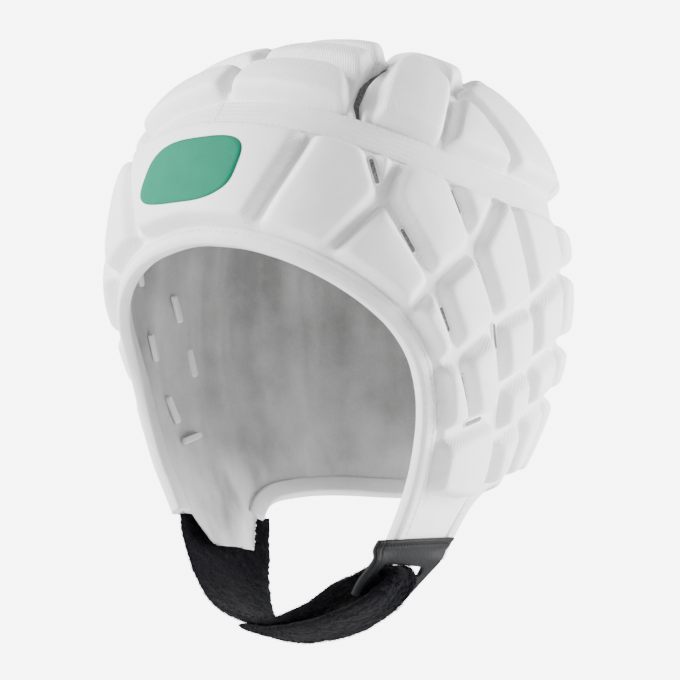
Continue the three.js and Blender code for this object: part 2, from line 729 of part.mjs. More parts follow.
// A flat outline extruded along X, Y or Z, right through the cap
function prism(outline, axis, from, to) {
  const shape = new THREE.Shape(outline.map(([x, y]) => new THREE.Vector2(x, y)));
  const geometry = new THREE.ExtrudeGeometry(shape, { depth: to - from, bevelEnabled: false });
  geometry.translate(0, 0, from);
  const alongX = new THREE.Vector3(1, 0, 0);
  const alongY = new THREE.Vector3(0, 1, 0);
  const alongZ = new THREE.Vector3(0, 0, 1);
  const turn = {
    X: new THREE.Matrix4().makeBasis(alongY, alongZ, alongX),
    Y: new THREE.Matrix4().makeBasis(alongZ, alongX, alongY),
    Z: new THREE.Matrix4(),
  };
  geometry.applyMatrix4(turn[axis]);
  return solidOfGeometry(geometry);
}

const cutBy = (solid, cutters) => cutters.reduce((rest, cutter) => rest.subtract(cutter), solid);

// A length that reaches past the cap from anywhere in it
const beyond = 2 * (insideHeight + strapHang);

// Places on the form along the edges and the tape, both sides of the face
const mirrorPlaces = (rows) => [
  ...rows.slice(1).reverse().map((row) => ({ around: -row.around, down: row.down })),
  ...rows,
];
const facePlaces = smoothPlaces(mirrorPlaces(FACE_EDGE), 44);
const rearHalf = smoothPlaces(REAR_EDGE, 16);
const rearPlaces = [
  ...rearHalf,
  ...rearHalf.slice(0, -1).reverse().map((p) => ({ around: 360 - p.around, down: p.down })),
];
const tapeSteps = 44;
const tapePlaces = Array.from({ length: tapeSteps }, (_, i) => {
  const around = i * 360 / tapeSteps;
  return { around, down: tapeDown(around) };
});

// Clearances that the tape and the bindings need in the layers under them
const tapeRoomWidth = tapeWidth + 2 * layerGap;
const tapeRoom = strip(tapePlaces, tapeRoomWidth, tapeLow - layerGap, tapeLow + 4 * padHeight, true);
const roomFor = (places) => {
  const width = bindingWidth + 2 * layerGap;
  const past = (end, inner) => ({
    around: end.around + (end.around - inner.around) / 3,
    down: end.down + (end.down - inner.down) / 3,
  });
  const longer = [
    past(places[0], places[1]),
    ...places,
    past(places[places.length - 1], places[places.length - 2]),
  ];
  return strip(longer, width, bindingLow - layerGap, bindingHigh + 2 * padHeight, false);
};
const bindingRoom = [roomFor(facePlaces), roomFor(rearPlaces)];

// Height at which the strap is sewn on under the right flap
const rootHeight = layerPoint(0, strapRootDown / crownToRim, 0).z;
const belowRightFlap = prism([
  [-beyond, -beyond], [beyond, -beyond], [beyond, rootHeight], [-beyond, rootHeight],
], 'X', -beyond, 0);

// Cells of both sides, as lists of point names; turned names a point on the
// other side of the face
const bothSides = (lists, padded, onCrown) => lists.flatMap((list) => [1, -1].map((side) => (
  { names: list.map((name) => [name, false]), side, padded, onCrown })));
const foreheadCell = {
  names: [['frontMiddle', false], ['foreheadTop', false], ['foreheadLow', false], ['lowMiddle', false],
    ['foreheadLow', true], ['foreheadTop', true]],
  side: 1, padded: true, onCrown: false,
};
const bodyCells = [
  foreheadCell, ...bothSides(SIDE_PADS, true, false), ...bothSides(FLAP_CELLS, false, false),
];
const crownCells = bothSides(Object.values(CROWN_PADS).flat(), true, true);

// Lining: one cloth all over the inside, with a tongue over the strap's root,
// outlined by positions along and heights below the root
const TONGUE = [[-24, 0], [-17, -12.5], [3, -14.5], [11.5, 0]];

function makeLining() {
  const cloth = panel([...bodyCells, ...crownCells], 0, liningThickness, 0);
  const tongue = TONGUE.map(([y, z]) => [y, rootHeight + z]);
  const aroundTongue = prism([
    [-beyond, rootHeight], ...tongue, [beyond, rootHeight], [beyond, -beyond], [-beyond, -beyond],
  ], 'X', -beyond, 0);
  return cutBy(cloth, [...bindingRoom, aroundTongue]);
}

// Slots cut right through the channels of both sides
function ventCutters() {
  const cutters = [];
  for (const [from, to, share] of VENTS) {
    const a = placeOf(from, 1);
    const b = placeOf(to, 1);
    const place = { around: lerp(a.around, b.around, share), down: lerp(a.down, b.down, share) };
    const up = formNormal(place.around, place.down);
    const along = layerPoint(b.around, b.down, 0).sub(layerPoint(a.around, a.down, 0)).normalize();
    const across = up.clone().cross(along).normalize();
    along.crossVectors(across, up);
    const box = new THREE.BoxGeometry(ventLength, ventWidth, 4 * shellOuter);
    box.applyMatrix4(new THREE.Matrix4().makeBasis(along, across, up));
    const centre = layerPoint(place.around, place.down, shellOuter / 2);
    box.translate(centre.x, centre.y, centre.z);
    const cutter = solidOfGeometry(box);
    cutters.push(cutter, mirrorX(cutter));
  }
  return cutters;
}

// The same solid on the other side of the face
function mirrorX(solid) {
  const mesh = solid.getMesh();
  const points = [];
  for (let i = 0; i < mesh.vertProperties.length; i += 3) {
    const [x, y, z] = mesh.vertProperties.slice(i, i + 3);
    points.push(new THREE.Vector3(-x, y, z));
  }
  const triangles = [];
  for (let i = 0; i < mesh.triVerts.length; i += 3) {
    triangles.push([...mesh.triVerts.slice(i, i + 3)]);
  }
  return outward(points, triangles);
}
const vents = ventCutters();

// Padded body below the tape, in one
function makeBody() {
  const body = panel(bodyCells, shellInner, shellOuter, padHeight);
  return cutBy(body, [...bindingRoom, tapeRoom, seamUnderTape(), belowRightFlap, ...vents]);
}

// The gap between the body and the crown, under the tape
function seamUnderTape() {
  return strip(tapePlaces, panelGap, -padHeight, 2 * padHeight, true);
}

// The part of the body between the forehead's two side seams
function foreheadPrism(grow) {
  const corner = (name) => {
    const { around, down } = placeOf(name, 1);
    return layerPoint(around, down, shellOuter);
  };
  const top = corner('foreheadTop');
  const low = corner('foreheadLow');
  const at = (z) => lerp(low.x, top.x, (z - low.z) / (top.z - low.z)) + grow;
  const highZ = top.z + 2 * tapeWidth;
  const lowZ = low.z - 2 * bindingWidth;
  return prism([
    [lowZ, -at(lowZ)], [highZ, -at(highZ)], [highZ, at(highZ)], [lowZ, at(lowZ)],
  ], 'Y', -beyond, 0);
}

// A seam's line in plan, carried on past the tape
function seamLine(rows, side) {
  const line = rows.map((row) => {
    const place = placeOf(row.point, side);
    const point = layerPoint(place.around, place.down, shellOuter);
    return { x: point.x, y: point.y, open: row.open };
  });
  const [beforeEnd, end] = line.slice(-2);
  const reach = 3;
  return [...line, { x: lerp(beforeEnd.x, end.x, reach), y: lerp(beforeEnd.y, end.y, reach), open: 0 }];
}

// The gap along a seam, wider where it gapes
function seamCutter(rows, side) {
  const line = seamLine(rows, side);
  const left = [];
  const right = [];
  line.forEach((point, i) => {
    const before = line[Math.max(i - 1, 0)];
    const after = line[Math.min(i + 1, line.length - 1)];
    const along = new THREE.Vector2(after.x - before.x, after.y - before.y).normalize();
    const half = (seamGap + point.open * slitWidth) / 2;
    const back = i === 0 ? seamGap : 0;
    const [x, y] = [point.x - along.x * back, point.y - along.y * back];
    left.push([x - along.y * half, y + along.x * half]);
    right.push([x + along.y * half, y - along.x * half]);
  });
  return prism([...left, ...right.reverse()], 'Z', -beyond, beyond);
}

// Crown with its pads, cut along the seams between its petals
function makeCrown() {
  const crown = panel(crownCells, shellInner, shellOuter, crownPadHeight);
  const seams = [1, -1].flatMap((side) => [seamCutter(FRONT_SEAM, side), seamCutter(REAR_SEAM, side)]);
  return cutBy(crown, [...seams, tapeRoom, seamUnderTape()]);
}

// The part of the crown between two seams, in plan
function petalPrism(name) {
  const line = (rows, side) => seamLine(rows, side).map((point) => [point.x, point.y]);
  const seams = {
    frontLeft: line(FRONT_SEAM, 1),
    frontRight: line(FRONT_SEAM, -1),
    rearLeft: line(REAR_SEAM, 1),
    rearRight: line(REAR_SEAM, -1),
  };
  const between = (first, corners, second) => [
    ...first, ...corners.map(([x, y]) => [x * beyond, y * beyond]), ...second.slice(1).reverse(),
  ];
  const outlines = {
    front: between(seams.frontLeft, [[1, -1], [-1, -1]], seams.frontRight),
    left: between(seams.frontLeft, [[1, -1], [1, 1]], seams.rearLeft),
    right: between(seams.frontRight, [[-1, -1], [-1, 1]], seams.rearRight),
    back: between(seams.rearLeft, [[1, 1], [-1, 1]], seams.rearRight),
  };
  return prism(outlines[name], 'Z', -beyond, beyond);
}

// Chin strap: one band from the right flap through the tab's slot and back
function makeStrap() {
  const rows = [...STRAP, ...STRAP_FOLD];
  const top = rootHeight - 3 * layerGap;
  const centre = new THREE.CatmullRomCurve3(rows.map((row) => new THREE.Vector3(
    row.across * strapReach, row.along * strapForward, top - row.drop * strapHang)));
  const stepsPerRow = 2;
  const steps = (rows.length - 1) * stepsPerRow;
  const rings = [];
  for (let i = 0; i <= steps; i += 1) {
    const row = Math.min(Math.floor(i / stepsPerRow), rows.length - 2);
    const t = i / stepsPerRow - row;
    const blend = (column) => lerp(rows[row][column], rows[row + 1][column], t);
    const point = centre.getPoint(i / steps);
    const along = centre.getTangent(i / steps);
    const wide = new THREE.Vector3(blend('toe'), 1, blend('dip'));
    wide.addScaledVector(along, -wide.dot(along)).normalize();
    const out = wide.clone().cross(along).normalize();
    const bulge = strapRootBulge * Math.max(0, 1 - i / (stepsPerRow * 4));
    const half = blend('width') / 2;
    const ring = [];
    const places = [-1, -0.34, 0.34, 1];
    for (const u of places) ring.push([u * half, bulge * (1 - u * u) - strapThickness / 2]);
    for (const u of [...places].reverse()) ring.push([u * half, bulge * (1 - u * u) + strapThickness / 2]);
    rings.push(ring.map(([w, h]) => point.clone().addScaledVector(wide, w).addScaledVector(out, h)));
  }
  for (const point of rings[0]) point.z = rootHeight - layerGap;
  return loft(rings);
}

// Tab: a moulded plate over the end of the left flap, with a slot
function makeTab() {
  const columns = 6;
  const middle = TAB.map((row) => Array.from({ length: columns + 1 }, (_, j) => {
    const y = lerp(row.front, row.rear, j / columns) * strapForward;
    const z = rootHeight - lerp(row.frontDrop, row.rearDrop, j / columns) * strapHang;
    if (row.across !== undefined) return new THREE.Vector3(row.across * strapReach, y, z);
    const place = flapPlace(y, z);
    return layerPoint(place.around, place.down, tabLevel);
  }));
  const within = (value, most) => Math.min(Math.max(value, 0), most);
  const at = (i, j) => middle[within(i, TAB.length - 1)][within(j, columns)];
  const normal = (i, j) => {
    const down = at(i + 1, j).clone().sub(at(i - 1, j));
    const rearward = at(i, j + 1).clone().sub(at(i, j - 1));
    return rearward.cross(down).normalize();
  };
  const points = [];
  for (const side of [-1, 1]) {
    middle.forEach((row, i) => row.forEach((point, j) => {
      points.push(point.clone().addScaledVector(normal(i, j), side * tabThickness / 2));
    }));
  }
  const index = (side, i, j) => (side * TAB.length + i) * (columns + 1) + j;
  const triangles = [];
  const quad = (a, b, c, d) => triangles.push([a, b, c], [a, c, d]);
  for (let i = 0; i < TAB.length - 1; i += 1) {
    for (let j = 0; j < columns; j += 1) {
      quad(index(1, i, j), index(1, i, j + 1), index(1, i + 1, j + 1), index(1, i + 1, j));
      quad(index(0, i, j), index(0, i + 1, j), index(0, i + 1, j + 1), index(0, i, j + 1));
    }
    quad(index(0, i, 0), index(1, i, 0), index(1, i + 1, 0), index(0, i + 1, 0));
    quad(index(0, i, columns), index(0, i + 1, columns), index(1, i + 1, columns), index(1, i, columns));
  }
  const end = TAB.length - 1;
  for (let j = 0; j < columns; j += 1) {
    quad(index(0, 0, j), index(0, 0, j + 1), index(1, 0, j + 1), index(1, 0, j));
    quad(index(0, end, j), index(1, end, j), index(1, end, j + 1), index(0, end, j + 1));
  }
  const slot = new THREE.BoxGeometry(6 * tabThickness, slotLength, slotHeight);
  slot.translate(slotAcross * strapReach, slotAlong * strapForward, rootHeight - slotDrop * strapHang);
  return outward(points, triangles).subtract(solidOfGeometry(slot));
}

const cap = new THREE.Group();

// The largest body of a solid, without the crumbs that a cut leaves
function mainBody(solid) {
  return solid.decompose().sort((a, b) => b.volume() - a.volume())[0];
}

// Adds one named piece in its material
function piece(name, solid, material) {
  const mesh = new THREE.Mesh(geometryOf(mainBody(solid)), material.clone());
  mesh.name = name;
  cap.add(mesh);
}

const shellCloth = new THREE.MeshStandardMaterial({ color: 0xf1f1ef, roughness: 0.62, metalness: 0 });
const tapeCloth = new THREE.MeshStandardMaterial({ color: 0xe9e9e7, roughness: 0.8, metalness: 0 });
const liningCloth = new THREE.MeshStandardMaterial({ color: 0xb9bab6, roughness: 0.95, metalness: 0 });
const strapCloth = new THREE.MeshStandardMaterial({ color: 0x101018, roughness: 0.98, metalness: 0 });
const tabVinyl = new THREE.MeshStandardMaterial({ color: 0x2a2b2d, roughness: 0.5, metalness: 0 });

const crown = makeCrown();
for (const name of ['front', 'left', 'right', 'back']) {
  piece(`crown_${name}`, crown.intersect(petalPrism(name)), shellCloth);
}
const body = makeBody();
const sides = body.subtract(foreheadPrism(panelGap / 2));
const everywhere = [[-beyond, -beyond], [beyond, -beyond], [beyond, beyond], [-beyond, beyond]];
piece('forehead_panel', body.intersect(foreheadPrism(-panelGap / 2)), shellCloth);
piece('side_panel_left', sides.intersect(prism(everywhere, 'X', panelGap / 2, beyond)), shellCloth);
piece('side_panel_right', sides.intersect(prism(everywhere, 'X', -beyond, -panelGap / 2)), shellCloth);
piece('lining', cutBy(makeLining(), vents), liningCloth);
piece('crown_tape', strip(tapePlaces, tapeWidth, tapeLow, tapeLow + tapeThickness, true), tapeCloth);
const trimmed = (places) => {
  const whole = strip(places, bindingWidth, bindingLow, bindingHigh, false);
  return whole.subtract(belowRightFlap);
};
piece('face_binding', trimmed(facePlaces), tapeCloth);
piece('rear_binding', trimmed(rearPlaces), tapeCloth);
piece('strap_tab', makeTab(), tabVinyl);
piece('chin_strap', makeStrap(), strapCloth);

export default cap;
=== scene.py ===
"""Rugby scrum cap: the padded shell, lining, tapes, chin strap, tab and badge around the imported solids.

Lengths are in millimetres until a mesh is made. The face looks towards -Y and the wearer's left is +X.
"""

import math

import bmesh
import bpy
import numpy as np
from mathutils import Matrix, Vector
from mathutils.kdtree import KDTree


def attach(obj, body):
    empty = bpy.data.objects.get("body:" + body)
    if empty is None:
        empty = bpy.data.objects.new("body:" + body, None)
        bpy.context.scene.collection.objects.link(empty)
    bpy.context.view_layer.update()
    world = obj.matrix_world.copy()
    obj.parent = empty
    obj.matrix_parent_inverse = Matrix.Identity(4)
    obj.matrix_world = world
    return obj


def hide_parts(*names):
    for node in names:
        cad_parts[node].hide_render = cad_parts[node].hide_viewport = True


bl_info = {
    "name": "Scrum cap",
    "version": (1, 0, 0),
    "blender": (4, 5, 0),
    "location": "3D View > Sidebar > Scrum cap",
    "description": "Builds a padded rugby scrum cap piece by piece",
    "category": "Add Mesh",
}

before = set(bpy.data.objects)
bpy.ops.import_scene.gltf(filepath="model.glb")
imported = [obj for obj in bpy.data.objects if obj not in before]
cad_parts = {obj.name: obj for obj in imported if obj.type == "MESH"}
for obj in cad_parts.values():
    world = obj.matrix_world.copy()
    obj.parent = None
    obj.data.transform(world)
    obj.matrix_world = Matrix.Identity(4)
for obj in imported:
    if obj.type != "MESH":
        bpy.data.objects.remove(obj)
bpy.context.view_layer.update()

MM = 0.001
HALF_WIDTH = 79.0
FRONT = 92.0
BACK = 96.0
HEIGHT = 205.0
CROWN_TO_RIM = 265.0
ROUNDNESS = 2.25

LINING_LEVEL = 0.5
SHELL_OUTER = 3.5
TAPE_LOW = 3.0
FLOOR_RISE = 2.2
BINDING_LOW = -0.8
BINDING_THICKNESS = 5.2
BINDING_HALF = 4.0
TAPE_HALF = 6.25
TAPE_THICKNESS = 1.4
# From a sewn edge to the foot of a pad
EDGE_GAP = 0.9
# Share by which the panels run on under the tape
UNDER_TAPE = 0.012
# Size and depth of the cloth's slight unevenness
WAVER_SIZE, WAVER_DEPTH = 9.0, 0.10
# A share down below every edge, and degrees around just past the nape
BELOW_ALL, PAST_NAPE = 1.2, 190

# Sections of the inside form: down, drop, side, front, back, drawn in at the rear
SECTIONS = np.array([
    (0, 0, 0, 0, 0, 0),
    (0.113, 0.015, 0.367, 0.326, 0.302, 0),
    (0.226, 0.073, 0.684, 0.641, 0.604, 0),
    (0.340, 0.185, 0.899, 0.870, 0.865, 0),
    (0.453, 0.322, 0.981, 0.967, 0.979, 0),
    (0.566, 0.468, 1.000, 1.000, 1.000, 0),
    (0.679, 0.615, 0.975, 1.000, 0.927, 0.037),
    (0.792, 0.756, 0.886, 0.967, 0.813, 0.147),
    (0.906, 0.893, 0.722, 0.891, 0.719, 0.313),
    (1.000, 1.000, 0.580, 0.804, 0.656, 0.423),
    (1.040, 1.046, 0.522, 0.767, 0.629, 0.470),
])
DOWN, DROP, SIDE, AHEAD, BEHIND, DRAWN = range(6)

# Middle lines of the bindings and of the tape: degrees around, share down
FACE_EDGE = np.array([
    (0, 0.506), (8.5, 0.511), (17, 0.521), (27, 0.542), (36.5, 0.570), (46, 0.606), (53.5, 0.643),
    (59, 0.687), (61.8, 0.736), (62.8, 0.783), (62.8, 0.828), (62.3, 0.875), (60.5, 0.925), (57.5, 0.975),
    (55, 1.010),
])
REAR_EDGE = np.array([
    (98, 1.000), (99.5, 0.945), (102, 0.911), (106, 0.887), (113, 0.864), (122, 0.853),
    (131, 0.847), (142, 0.846), (160, 0.851), (180, 0.853),
])
TAPE_LINE = np.array([
    (0, 0.303), (18, 0.316), (33, 0.336), (45, 0.357), (60, 0.382), (80, 0.405), (100, 0.416),
    (134, 0.426), (180, 0.430),
])

# Points where channels, seams and edges meet: degrees around and share down.
# A point on the tape has no share of its own, and a third value says what the
# point lies on: the rim under a binding, or a seam between petals.
POINTS = {
    "frontMiddle": (0,), "foreheadSide": (17,), "foreheadTop": (33,), "frontSeamEnd": (44,),
    "templeTop": (55,), "earFrontTop": (66,), "earMiddleTop": (79,), "earTop": (92,),
    "crownSideEnd": (101,), "rearTop": (118,), "rearSeamEnd": (133,), "backTop": (144,),
    "napeTop": (161,), "rearMiddleTop": (180,),
    "lowMiddle": (0, 0.512, "rim"), "foreheadLow": (15.5, 0.525, "rim"), "wingLow": (32, 0.563, "rim"),
    "templeMeet": (48.5, 0.460), "templeLow": (52, 0.648, "rim"), "earFrontMeet": (62, 0.581),
    "earFrontLow": (59.5, 0.713, "rim"), "earMeet": (76, 0.519), "earCentre": (70.5, 0.685),
    "earRear": (86, 0.628), "cheekFront": (61.5, 0.818, "rim"), "cheekMeet": (78.5, 0.783),
    "cheekRear": (91, 0.725), "cheekPoint": (93, 0.758), "cheekLow": (76, 0.905),
    "cheekEnd": (94, 0.898), "jawMeet": (95, 0.800), "jawSide": (100.5, 0.860),
    "jawLow": (104.5, 0.893, "rim"), "sideTop": (104, 0.585), "sideMiddle": (106.5, 0.677),
    "sideLow": (110, 0.751), "sideEnd": (114, 0.867, "rim"), "rearUpper": (124, 0.521),
    "rearMiddle": (124, 0.632), "rearLow": (125, 0.709), "rearEnd": (127, 0.856, "rim"),
    "backUpper": (142, 0.513), "backMiddle": (142, 0.615), "backLow": (143, 0.694),
    "backEnd": (144, 0.853, "rim"), "napeUpper": (161, 0.506), "napeMiddle": (161, 0.604),
    "napeLow": (161.5, 0.683), "napeEnd": (162, 0.857, "rim"), "middleUpper": (180, 0.502),
    "middleCentre": (180, 0.600), "middleLow": (180, 0.679), "middleEnd": (180, 0.859, "rim"),
    "flapFront": (61, 0.895, "rim"),
    "crownMiddle": (180, 0.055, "seam"), "frontRowLow": (0, 0.203), "frontRowMiddle": (0, 0.115),
    "frontRowHigh": (0, 0.030), "backRowLow": (180, 0.345), "backRowMiddle": (180, 0.250),
    "backRowHigh": (180, 0.155), "frontSeamLow": (43.5, 0.298, "seam"),
    "frontSeamWide": (47, 0.252, "seam"), "frontSeamHigh": (58.5, 0.194, "seam"),
    "frontSeamTop": (82.5, 0.120, "seam"), "frontSeamIn": (129, 0.060, "seam"),
    "rearSeamLow": (133, 0.352, "seam"), "rearSeamWide": (134, 0.275, "seam"),
    "rearSeamHigh": (138, 0.174, "seam"), "petalMeet": (84, 0.262), "petalRear": (113, 0.215),
}

# Pads of one side, each inside the channels between the points named
SIDE_PADS = [name.split() for name in (
    "foreheadTop frontSeamEnd templeMeet wingLow foreheadLow",
    "templeMeet earFrontMeet templeLow wingLow",
    "frontSeamEnd templeTop templeMeet",
    "templeTop earFrontTop earMeet earFrontMeet templeMeet",
    "earFrontTop earTop earMeet",
    "earMeet earTop sideTop earRear",
    "earFrontMeet earMeet earRear earCentre",
    "earFrontMeet earCentre earFrontLow templeLow",
    "earCentre cheekMeet cheekFront earFrontLow",
    "earCentre earRear cheekRear cheekPoint cheekMeet",
    "cheekMeet cheekPoint jawMeet jawSide cheekEnd cheekLow flapFront cheekFront",
    "earRear sideTop sideMiddle cheekRear",
    "cheekRear sideMiddle sideLow jawMeet cheekPoint",
    "jawMeet sideLow sideEnd jawLow jawSide",
    "earTop rearTop rearUpper sideTop",
    "sideTop rearUpper rearMiddle sideMiddle",
    "sideMiddle rearMiddle rearLow sideLow",
    "sideLow rearLow rearEnd sideEnd",
    "rearTop backTop backUpper rearUpper",
    "rearUpper backUpper backMiddle rearMiddle",
    "rearMiddle backMiddle backLow rearLow",
    "rearLow backLow backEnd rearEnd",
    "backTop napeTop napeUpper backUpper",
    "backUpper napeUpper napeMiddle backMiddle",
    "backMiddle napeMiddle napeLow backLow",
    "backLow napeLow napeEnd backEnd",
    "napeTop rearMiddleTop middleUpper napeUpper",
    "napeUpper middleUpper middleCentre napeMiddle",
    "napeMiddle middleCentre middleLow napeLow",
    "napeLow middleLow middleEnd napeEnd",
)]
CROWN_PADS = {
    "front": [name.split() for name in (
        "frontMiddle frontRowLow frontSeamWide frontSeamLow frontSeamEnd",
        "frontRowLow frontRowMiddle frontSeamHigh frontSeamWide",
        "frontRowMiddle frontRowHigh frontSeamTop frontSeamHigh",
        "frontRowHigh crownMiddle frontSeamIn frontSeamTop",
    )],
    "side": [name.split() for name in (
        "frontSeamEnd frontSeamLow frontSeamWide frontSeamHigh frontSeamTop petalMeet earFrontTop",
        "earFrontTop petalMeet crownSideEnd",
        "petalMeet petalRear rearSeamWide rearSeamLow rearSeamEnd crownSideEnd",
        "frontSeamTop petalRear petalMeet",
        "frontSeamTop frontSeamIn crownMiddle rearSeamHigh petalRear",
        "petalRear rearSeamHigh rearSeamWide",
    )],
    "back": [name.split() for name in (
        "rearMiddleTop rearSeamEnd rearSeamLow backRowLow",
        "backRowLow rearSeamLow rearSeamWide backRowMiddle",
        "backRowMiddle rearSeamWide rearSeamHigh backRowHigh",
        "backRowHigh rearSeamHigh crownMiddle",
    )],
}
# The forehead's pad crosses the middle, so each corner has its side
FOREHEAD = [("frontMiddle", 1), ("foreheadTop", 1), ("foreheadLow", 1), ("lowMiddle", 1),
            ("foreheadLow", -1), ("foreheadTop", -1)]
# Seams between petals: the point, and the share of slit_width that it gapes
FRONT_SEAM = [("crownMiddle", 0), ("frontSeamIn", 0), ("frontSeamTop", 0), ("frontSeamHigh", 0.7),
              ("frontSeamWide", 1), ("frontSeamLow", 0.9), ("frontSeamEnd", 0)]
REAR_SEAM = [("crownMiddle", 0), ("rearSeamHigh", 0), ("rearSeamWide", 0.6), ("rearSeamLow", 0.8),
             ("rearSeamEnd", 0)]

# Vents along the channels: from, to, share of the way
VENTS = [
    ("frontSeamEnd", "templeMeet", 0.6), ("templeMeet", "earFrontMeet", 0.5), ("earFrontTop", "earMeet", 0.5),
    ("earFrontMeet", "earCentre", 0.5), ("earMeet", "earRear", 0.4), ("earRear", "cheekRear", 0.2),
    ("earCentre", "cheekMeet", 0.48), ("cheekMeet", "cheekPoint", 0.2),
]

# Chin strap: across, along, drop, width, toe, dip
STRAP_HANG, STRAP_REACH, STRAP_FORWARD = 50.0, 58.0, 30.0
STRAP = np.array([
    (-1.005, -0.14, 0, 49, 0.2, 0),
    (-0.955, -0.22, 0.24, 47, 0.18, 0),
    (-0.835, -0.39, 0.54, 42, 0.12, -0.04),
    (-0.63, -0.63, 0.79, 37, 0.06, -0.1),
    (-0.33, -0.87, 0.94, 34, 0, -0.15),
    (0, -1, 0.98, 33, 0, -0.16),
    (0.3, -1.01, 0.87, 31, 0, -0.14),
    (0.53, -1.02, 0.7, 27, 0, -0.08),
    (0.67, -0.99, 0.615, 22.5, -0.05, -0.03),
    (0.745, -0.93, 0.565, 19.5, -0.05, 0),
    (0.815, -0.87, 0.543, 18.5, -0.05, 0),
    (0.88, -0.87, 0.545, 18.5, -0.05, 0),
    (0.91, -0.87, 0.6, 19, -0.05, 0),
    (0.895, -0.9, 0.66, 20.5, -0.05, 0),
    (0.845, -0.95, 0.735, 23, 0, -0.03),
    (0.73, -1, 0.84, 26.5, 0, -0.08),
    (0.4, -1.02, 0.985, 30, 0, -0.14),
    (0, -1.03, 1.045, 30, 0, -0.16),
    (-0.28, -1, 1.012, 30, 0, -0.15),
])
STRAP_ROOT_DOWN = 242 / CROWN_TO_RIM
# The strap's middle line starts this far below the edge of the right flap
STRAP_BELOW_ROOT = 0.9
# The strap arches this much at its root, and flattens within this many rows
STRAP_ARCH, ARCH_ROWS = 6.5, 4
STRAP_HALF_THICKNESS, FIBRE_LEVEL = 1.5, 1.45
STRAP_STEPS, STRAP_COLUMNS, FIBRES = 330, 44, 36000
FLAP_END_DOWN = 1.010

# Tab: front, rear, their drops, and how far out it lies (nan: on the flap's outside)
TAB = np.array([
    (-1.43, 0.34, 0.346, 0.264, math.nan),
    (-1.45, 0.24, 0.42, 0.35, math.nan),
    (-1.47, 0.05, 0.5, 0.45, 0.905),
    (-1.49, -0.09, 0.59, 0.57, 0.842),
    (-1.5, -0.24, 0.68, 0.7, 0.774),
    (-1.5, -0.385, 0.77, 0.812, 0.725),
])
# The lining's tongue over the strap's root: places along, and how far each hangs below the root
TONGUE = np.array([(-24, 0), (-17, -12.5), (3, -14.5), (11.5, 0)])
TONGUE_REACH = 22
# The tab's middle lies this far above the binding, and the slot's corners are this round
TAB_CLEARANCE, SLOT_CORNER = 1.6, 2.0
# Across from the tab's front edge: the end of its folded border, the groove beside it, and the stitches
BORDER_END, BORDER_GROOVE, BORDER_STITCH = 2.8, 3.6, 1.6
# Down from the tab's top edge to its row of stitches
TOP_STITCH = 3.0
LINING_FOLD = 1.1
SLOT_ALONG, SLOT_DROP, SLOT_LENGTH, SLOT_HEIGHT = -0.76, 0.56, 28.0, 4.2


def smooth_column(rows, key, column, at):
    """Value of a table's column where its key column reaches each position, smoothly joined."""
    x, y = rows[:, key], rows[:, column]
    slope = np.empty(len(x))
    slope[1:-1] = (y[2:] - y[:-2]) / (x[2:] - x[:-2])
    slope[0] = (y[1] - y[0]) / (x[1] - x[0])
    slope[-1] = (y[-1] - y[-2]) / (x[-1] - x[-2])
    i = np.clip(np.searchsorted(x, at, side="right") - 1, 0, len(x) - 2)
    span = x[i + 1] - x[i]
    t = (at - x[i]) / span
    return ((2 * t**3 - 3 * t**2 + 1) * y[i] + (t**3 - 2 * t**2 + t) * span * slope[i]
            + (3 * t**2 - 2 * t**3) * y[i + 1] + (t**3 - t**2) * span * slope[i + 1])


FORM = np.vstack([SECTIONS[2:0:-1] * [-1, 1, -1, -1, -1, 1], SECTIONS])


def form_points(around, down):
    """Points of the inside form."""
    around, down = np.broadcast_arrays(np.asarray(around, float), np.asarray(down, float))
    angle = np.radians(around)
    side = np.maximum(smooth_column(FORM, DOWN, SIDE, down) * HALF_WIDTH, 1e-6)
    ahead = smooth_column(FORM, DOWN, AHEAD, down) * FRONT
    behind = smooth_column(FORM, DOWN, BEHIND, down) * BACK
    reach = np.maximum(np.where(np.cos(angle) > 0, ahead, behind), 1e-6)
    radius = (np.abs(np.sin(angle) / side) ** ROUNDNESS
              + np.abs(np.cos(angle) / reach) ** ROUNDNESS) ** (-1 / ROUNDNESS)
    draw = smooth_column(FORM, DOWN, DRAWN, down) * radius * np.cos(angle) / FRONT
    height = -smooth_column(FORM, DOWN, DROP, down) * HEIGHT
    return np.stack([radius * np.sin(angle) * (1 + draw), -radius * np.cos(angle), height], -1)


def form_normals(around, down):
    """Outward directions of the form."""
    place = np.maximum(down, 0.0008)
    sideways = form_points(np.add(around, 0.1), place) - form_points(np.subtract(around, 0.1), place)
    downwards = form_points(around, place + 0.0004) - form_points(around, place - 0.0004)
    normal = np.cross(downwards, sideways)
    return normal / np.linalg.norm(normal, axis=-1, keepdims=True)


def layer_points(around, down, level):
    """Points at heights above the inside form."""
    return form_points(around, down) + np.asarray(level)[..., None] * form_normals(around, down)


def tape_down(around):
    """Share down at which the tape's middle lies."""
    turned = np.abs((np.asarray(around, float) + 180) % 360 - 180)
    return smooth_column(TAPE_LINE, 0, 1, turned)


def place_of(name, side):
    """Degrees around, share down and what a named point lies on."""
    row = POINTS[name]
    around = row[0] if row[0] in (0, 180) else side * row[0]
    if len(row) == 1:
        return around, float(tape_down(row[0])), "seamtape" if name.endswith("SeamEnd") else "tape"
    return around, row[1], row[2] if len(row) > 2 else ""


def plan_of(around, down):
    """Places on the plane where the crown's middle is the centre."""
    angle = np.radians(around)
    return np.stack([down * np.sin(angle), -down * np.cos(angle)], -1) * CROWN_TO_RIM


def chart_of(flat):
    """Degrees around and share down of places on that plane."""
    return np.degrees(np.arctan2(flat[:, 0], -flat[:, 1])), np.hypot(flat[:, 0], flat[:, 1]) / CROWN_TO_RIM


